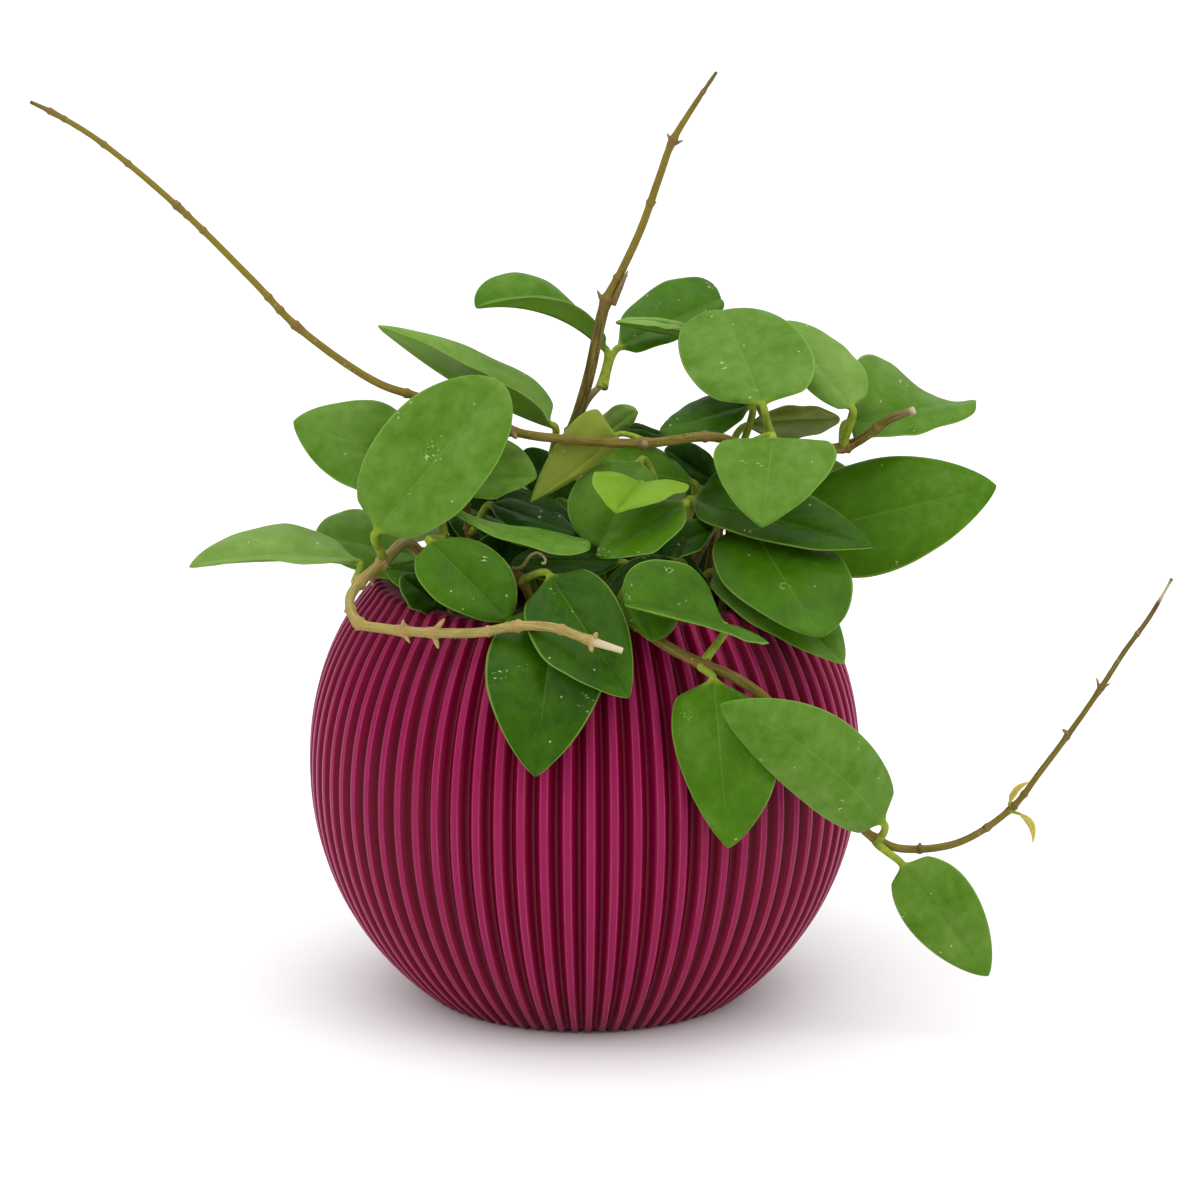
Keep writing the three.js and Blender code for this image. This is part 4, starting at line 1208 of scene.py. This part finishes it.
def bladeSurface(pad, along, across, reach, steep):
    # the midrib and how far each point lies off it, along from the blade's base to its tip
    given = pad.given
    rest = pad.minus(1.0, along)
    bowed = pad.times(pad.times(along, rest), 4.0)
    midrib = pad.total(pad.between(along, given["Base"], given["Tip"]), pad.scaled(given["Bow"], bowed))
    axis = pad.unit(pad.vector("SUBTRACT", given["Tip"], given["Base"]))
    basePower, tipPower = given["Base Power"], given["Tip Power"]
    widest = pad.math("DIVIDE", basePower, pad.plus(basePower, tipPower))

    def outline(at):
        return pad.times(pad.math("POWER", at, basePower), pad.math("POWER", pad.minus(1.0, at), tipPower))

    width = pad.math("DIVIDE", outline(along), outline(widest))

    # the two halves
    furl = pad.times(given["Furl"], pad.minus(along, widest))
    turned = {"Vector": given["Left"], "Axis": axis, "Angle": furl}
    turned = pad.add("ShaderNodeVectorRotate", turned, rotation_type="AXIS_ANGLE").outputs[0]
    side = pad.between(pad.math("GREATER_THAN", across, 0.0), turned, given["Right"])
    leftUp = pad.unit(pad.vector("CROSS_PRODUCT", pad.scaled(turned, -1.0), axis))
    rightUp = pad.unit(pad.vector("CROSS_PRODUCT", given["Right"], axis))
    up = pad.unit(pad.between(pad.ramp(across, -0.08, 0.08), leftUp, rightUp))

    # thickness, puff, waves and the midrib's relief
    rounded = pad.math("SQRT", pad.minus(1.0, pad.math("POWER", reach, blade["edgePower"])))
    face = pad.times(pad.math("SIGN", steep), rounded)
    thick = pad.blend(reach, given["Middle"], given["Edge"])
    thin = pad.math("SQRT", pad.math("MULTIPLY", rest, blade["tipThins"], clamp=True))
    spine = pad.ramp(reach, 0.0, blade["spineWidth"], 1.0, 0.0)
    spine = pad.times(spine, pad.ramp(along, blade["spineFades"], 1.0, 1.0, 0.0))
    upper = pad.math("GREATER_THAN", steep, 0.0)
    spineLift = pad.times(spine, pad.times(pad.blend(upper, given["Keel"], given["Groove"]), -1.0))
    offset = pad.join(given["Seed"], pad.times(given["Seed"], 0.37), 0.0)  # each leaf's own part of the noise
    unrolled = pad.join(pad.times(across, blade["wavesAcross"]), pad.times(along, blade["wavesAlong"]), 0.0)
    wander = pad.noise(pad.vector("ADD", unrolled, offset), 1.0, 1.0)
    wave = pad.times(pad.times(given["Wave"], width), pad.times(reach, 4.0))
    wave = pad.times(pad.minus(wander, 0.5), wave)
    bulge = pad.times(pad.times(reach, pad.minus(1.0, reach)), 4.0)
    puff = pad.times(pad.times(given["Puff"], width), bulge)
    half = pad.times(pad.times(face, thin), pad.times(thick, 0.5))
    lift = pad.plus(pad.plus(half, pad.plus(puff, wave)), spineLift)
    off = pad.total(pad.scaled(side, pad.times(reach, width)), pad.scaled(up, lift))
    return midrib, off, face


def petioleSurface(pad, along, onBlade, flat, steep):
    # the bent middle line of the stalk from the stem to the blade, and how far each point lies off it
    given = pad.given
    nearBase = 0.05  # the share of the midrib that gives the way in which it sets off
    chord = pad.vector("SUBTRACT", given["Tip"], given["Base"])
    bowed = pad.scaled(given["Bow"], 4 * nearBase * (1 - nearBase))
    setOff = pad.unit(pad.total(pad.scaled(chord, nearBase), bowed))
    bend = pad.times(given["Bend"], pad.vector("DISTANCE", given["Start"], given["Base"]))
    second = pad.total(given["Start"], pad.scaled(given["Away"], bend))
    third = pad.total(given["Base"], pad.scaled(setOff, pad.times(bend, -1.0)))
    first = pad.between(along, given["Start"], second)
    middle = pad.between(along, second, third)
    last = pad.between(along, third, given["Base"])
    toMiddle = pad.between(along, first, middle)
    fromMiddle = pad.between(along, middle, last)
    stalk = pad.between(along, toMiddle, fromMiddle)
    heading = pad.between(onBlade, pad.unit(pad.vector("SUBTRACT", fromMiddle, toMiddle)), setOff)
    sideways = pad.vector("SUBTRACT", given["Right"], given["Left"])
    slip = pad.scaled(heading, pad.times(pad.vector("DOT_PRODUCT", sideways, heading), -1.0))
    level = pad.unit(pad.total(sideways, slip))
    up = pad.vector("CROSS_PRODUCT", level, heading)
    foot = pad.times(pad.math("POWER", pad.minus(1.0, along), 4.0), blade["petioleFoot"])
    radius = pad.times(given["Petiole Radius"], pad.plus(1.0, foot))
    aside = pad.scaled(level, pad.times(pad.times(flat, -1.0), radius))
    return stalk, pad.total(aside, pad.scaled(up, pad.times(steep, radius)))


def makeLeafTree():
    # a tapered tube from a cone: its first rings are the petiole, and the rest is pressed flat into the blade
    vectors = ("Start", "Away", "Base", "Tip", "Left", "Right", "Bow")
    numbers = ("Furl", "Base Power", "Tip Power", "Petiole Share", "Petiole Radius", "Bend", "Middle", "Edge")
    numbers += ("Puff", "Wave", "Groove", "Keel", "Tint", "Seed")
    inputs = [("Geometry", "NodeSocketGeometry", None)]
    inputs += [(name, "NodeSocketVector", None) for name in vectors]
    inputs += [(name, "NodeSocketFloat", None) for name in numbers]
    inputs += [("Around", "NodeSocketInt", None), ("Along", "NodeSocketInt", None)]
    inputs.append(("Material", "NodeSocketMaterial", None))
    tree, pad = newGroup("waxyLeaf", "GeometryNodeTree", inputs, [("Geometry", "NodeSocketGeometry")])
    given = pad.given
    tube = {"Vertices": given["Around"], "Side Segments": given["Along"]}
    tube.update({"Radius Top": 0.0, "Radius Bottom": 1.0, "Depth": 1.0})
    cone = pad.add("GeometryNodeMeshCone", tube, fill_type="NGON").outputs["Mesh"]
    x, y, climb = pad.split(ownPlace(pad))
    turn = pad.math("ARCTAN2", y, x)
    flat, steep = pad.math("COSINE", turn), pad.math("SINE", turn)
    reach = pad.math("POWER", pad.math("ABSOLUTE", flat), blade["spread"])
    across = pad.times(pad.math("SIGN", flat), pad.times(reach, -1.0))
    stalkShare = given["Petiole Share"]
    alongStalk = pad.math("DIVIDE", climb, stalkShare, clamp=True)
    alongBlade = pad.math("DIVIDE", pad.minus(climb, stalkShare), pad.minus(1.0, stalkShare), clamp=True)
    # closer rings at both ends of the blade
    along = pad.minus(0.5, pad.times(pad.math("COSINE", pad.times(alongBlade, math.pi)), 0.5))
    onBlade = pad.math("GREATER_THAN", alongBlade, 0.0)
    midrib, bladeOff, face = bladeSurface(pad, along, across, reach, steep)
    stalk, circle = petioleSurface(pad, alongStalk, onBlade, flat, steep)
    centre = pad.between(onBlade, stalk, midrib)
    place = pad.total(centre, pad.between(pad.ramp(along, 0.0, blade["pressed"]), circle, bladeOff))

    # the shares are stored on the cone before it is bent, since they are read off the cone's own points
    shares = {
        "leafAlong": along,
        "leafAcross": across,
        "leafFace": face,
        "leafStalk": pad.minus(1.0, pad.ramp(along, 0.0, blade["stalkColour"])),
        "leafTint": given["Tint"],
    }
    for name, value in shares.items():
        cone = storeShare(pad, cone, name, value)
    endTree(pad, pad.add("GeometryNodeSetPosition", {"Geometry": cone, "Position": place}).outputs[0])
    return tree


leafTree = makeLeafTree()


def petioleStart(vine, leaf):
    # inside the stem, and the way that the petiole leaves it
    base = np.array(leaf["base"], float)
    if "start" in leaf:
        start = np.array(leaf["start"], float)
        away = (base - start) / np.linalg.norm(base - start)
        return start - blade["petioleSunk"] * away, away
    dense = vineCurve(vine)[0]
    at = pathSteps * (leaf["from"] + len(stems["rootLevels"]))
    along = dense[min(at + 1, len(dense) - 1)] - dense[at - 1]
    along /= np.linalg.norm(along)
    away = base - dense[at]
    away -= along * away.dot(along)
    away /= np.linalg.norm(away)
    return dense[at] + away * vine["radius"] * blade["petioleSeat"], away


def makeLeaf(name, leaf, start, away, seed, *nodes):
    material, slot = skins[leaf.get("skin", "leaf")]
    basePower, tipPower = bladeForms[leaf.get("form", "ovate")]
    thin = leaf.get("thin", 1)
    places = {"Start": start, "Bow": leaf.get("bow", (0, 0, 0))}
    places.update({key.title(): leaf[key] for key in ("base", "tip", "left", "right")})
    reliefs = {key.title(): blade[key] * thin**2 for key in ("puff", "wave", "groove", "keel")}
    values = {key: Vector(place) * mm for key, place in places.items()}
    values.update({key: size * mm for key, size in reliefs.items()})
    values.update(
        {
            "Away": Vector(away),
            "Furl": float(leaf.get("furl", 0)),
            "Base Power": basePower,
            "Tip Power": tipPower,
            "Petiole Share": blade["petioleShare"],
            "Petiole Radius": leaf.get("stalk", blade["petioleRadius"]) * mm,
            "Bend": blade["bend"],
            "Middle": blade["middle"] * thin * mm,
            "Edge": blade["edge"] * thin * mm,
            "Tint": leafTones[leaf.get("tone", "mid")],
            "Seed": float(seed),
            "Around": blade["around"],
            "Along": blade["along"],
            "Material": material,
        }
    )
    finishPiece(bakeTree(name, bpy.data.meshes.new(name), leafTree, values), slot, *nodes)


# small leaves deep inside the plant, on stalks of their own out of the soil; the solids leave them out
innerLeaves = [
    {"root": (2, 2), "base": (-6, 0, 160), "tip": (-18, 8, 180), "left": (-9, -1, 2), "right": (7, 3, 4)},
    {"root": (8, -12), "base": (1, -16, 153), "tip": (-28, -10, 170), "left": (-8, -6, -4),
     "right": (1, 8, 6)},
    {"root": (5, -4), "base": (0, -8, 153), "tip": (-9, -4, 166), "left": (-7, -2, -1), "right": (3, 4, 3),
     "tone": "dark"},
    {"root": (20, -26), "base": (12, -34, 152), "tip": (-23, -38, 153), "left": (-5, -10, -4),
     "right": (-3, 6, 5)},
    {"root": (34, -16), "base": (29, -28, 151), "tip": (5, -46, 141), "left": (-1, -11, -7),
     "right": (-6, 1, 5)},
    {"root": (40, -24), "base": (39, -34, 138), "tip": (22, -22, 154), "left": (-7, -5, -3),
     "right": (3, 9, 5)},
    {"root": (44, 20), "base": (43, 12, 167), "tip": (26, 6, 180), "left": (-4, -6, -1), "right": (2, 2, 7)},
    {"root": (30, 20), "base": (27, 12, 182), "tip": (10, 8, 186), "left": (-2, -6, 0), "right": (-2, 2, 3)},
    {"root": (-16, -6), "base": (-20, -8, 146), "tip": (-44, 0, 160), "left": (-7, -3, -1),
     "right": (2, 7, 6)},
    {"root": (-38, -26), "base": (-44, -36, 136), "tip": (-58, -44, 150), "left": (-5, -11, 0),
     "right": (1, 3, 5)},
    {"root": (6, 12), "base": (4, 12, 127), "tip": (-10, 26, 158), "left": (-17, -3, 1), "right": (15, 3, 4)},
    {"root": (14, 16), "base": (18, 14, 127), "tip": (38, 24, 159), "left": (-11, 3, 7),
     "right": (14, -5, -3)},
    {"root": (-36, -16), "base": (-37, -20, 136), "tip": (-21, -8, 156), "left": (-6, -1, 8),
     "right": (10, 1, -1)},
    {"root": (-30, 6), "base": (-33, 8, 145), "tip": (-37, 14, 171), "left": (-11, -4, 0),
     "right": (11, 4, 1)},
]
bracts = [  # pale scale leaves at a node of the trailing vine
    {"start": (136, -43, 74), "away": (0.5, 0, 0.8), "base": (136.2, -43.2, 75.2), "tip": (142, -45, 82.5),
     "left": (-1, 0, 0.6), "right": (0.7, -0.8, -0.5), "bow": (-0.8, 0, 0.8)},
    {"start": (136, -43, 72), "away": (1, -0.2, 0.2), "base": (139.3, -45, 71.8), "tip": (143.3, -49, 63.2),
     "left": (1.1, 0, 0.5), "right": (-1, -0.6, -0.4), "bow": (1.6, 0, 1.2)},
]

leafCount = 0
for name, vine in vines.items():
    for number, leaf in enumerate(vine["leaves"]):
        leafCount += 1
        node = "%s_leaf_%d" % (name, number + 1)
        makeLeaf(node + "_blade", leaf, *petioleStart(vine, leaf), leafCount, node)
stalkRootZ = 110  # below the top of the soil
for number, leaf in enumerate(innerLeaves):
    leafCount += 1
    # painted shade: the leaves deep inside the plant take the deepest tone
    leaf.setdefault("tone", "deepest")
    makeLeaf("inner_leaf_%d" % (number + 1), leaf, (*leaf["root"], stalkRootZ), (0, 0, 1), leafCount)
for number, leaf in enumerate(bracts):
    leafCount += 1
    leaf.update(skin="bract", stalk=0.5, thin=0.5)
    makeLeaf("bract_%d" % (number + 1), leaf, leaf["start"], leaf["away"], leafCount)
print("leaves made:", leafCount)

studio = {
    "floor": 0.92,
    "floorReach": 9,  # metres, as are the places and sizes below
    "sky": 1.36,  # the world's strength overhead
    "horizon": 0.46,
    "lampsAim": (0, 0, 0.12),
    "lamps": {
        "key": {"place": (-1.5, -0.9, 1.2), "size": (0.8, 1.6), "power": 4.0},
        "fill": {"place": (1.6, -0.8, 1.0), "size": (0.6, 1.6), "power": 5.0},
        "top": {"place": (0.0, -0.1, 1.8), "size": (1.6, 1.6), "power": 9.0},
    },
    "camera": {"place": (0.005, -1.7442, 0.5756), "aim": (0.005, 0, 0.131), "lens": 166.05, "sensor": 36},
}


def makeFloor():
    reach = studio["floorReach"]
    corners = [(-reach, -reach, 0), (reach, -reach, 0), (reach, reach, 0), (-reach, reach, 0)]
    mesh = plainMesh("floor", corners, [(0, 1, 2, 3)])
    floor = bpy.data.objects.new("floor", mesh)
    bpy.context.scene.collection.objects.link(floor)
    material, _, shader = newMaterial("paleFloor")
    shader["Base Color"].default_value = rgb(*(studio["floor"],) * 3)
    shader["Roughness"].default_value = 0.9
    mesh.materials.append(material)


def aimed(holder, place, aim):
    # puts a lamp or a camera in the scene, looking at a point
    holder.location = place
    holder.rotation_mode = "QUATERNION"
    holder.rotation_quaternion = (Vector(aim) - holder.location).to_track_quat("-Z", "Y")
    bpy.context.scene.collection.objects.link(holder)


def makeLamp(name, look):
    lamp = bpy.data.lights.new(name, "AREA")
    lamp.shape = "RECTANGLE"
    lamp.size, lamp.size_y = look["size"]
    lamp.energy = look["power"]
    aimed(bpy.data.objects.new(name, lamp), look["place"], studio["lampsAim"])


def makeCamera():
    look = studio["camera"]
    camera = bpy.data.objects.new("camera", bpy.data.cameras.new("camera"))
    camera.data.sensor_width = look["sensor"]
    camera.data.lens = look["lens"]
    aimed(camera, look["place"], look["aim"])
    bpy.context.scene.camera = camera


def makeWorld():
    # white overhead and dimmer towards the horizon, like a big overhead softbox in a dark room
    world = bpy.data.worlds.new("studio")
    world.use_nodes = True
    pad = NodePad(world.node_tree)
    background = world.node_tree.nodes["Background"].inputs
    height = pad.split(pad.add("ShaderNodeTexCoord").outputs["Generated"])[2]
    pad.plug(pad.ramp(height, 0.05, 0.7, studio["horizon"], studio["sky"]), background["Strength"])
    background["Color"].default_value = rgb(1, 1, 1)
    bpy.context.scene.world = world


makeFloor()
for name, look in studio["lamps"].items():
    makeLamp(name, look)
makeCamera()
makeWorld()
bpy.context.scene.view_settings.view_transform = "Standard"
print("studio made")
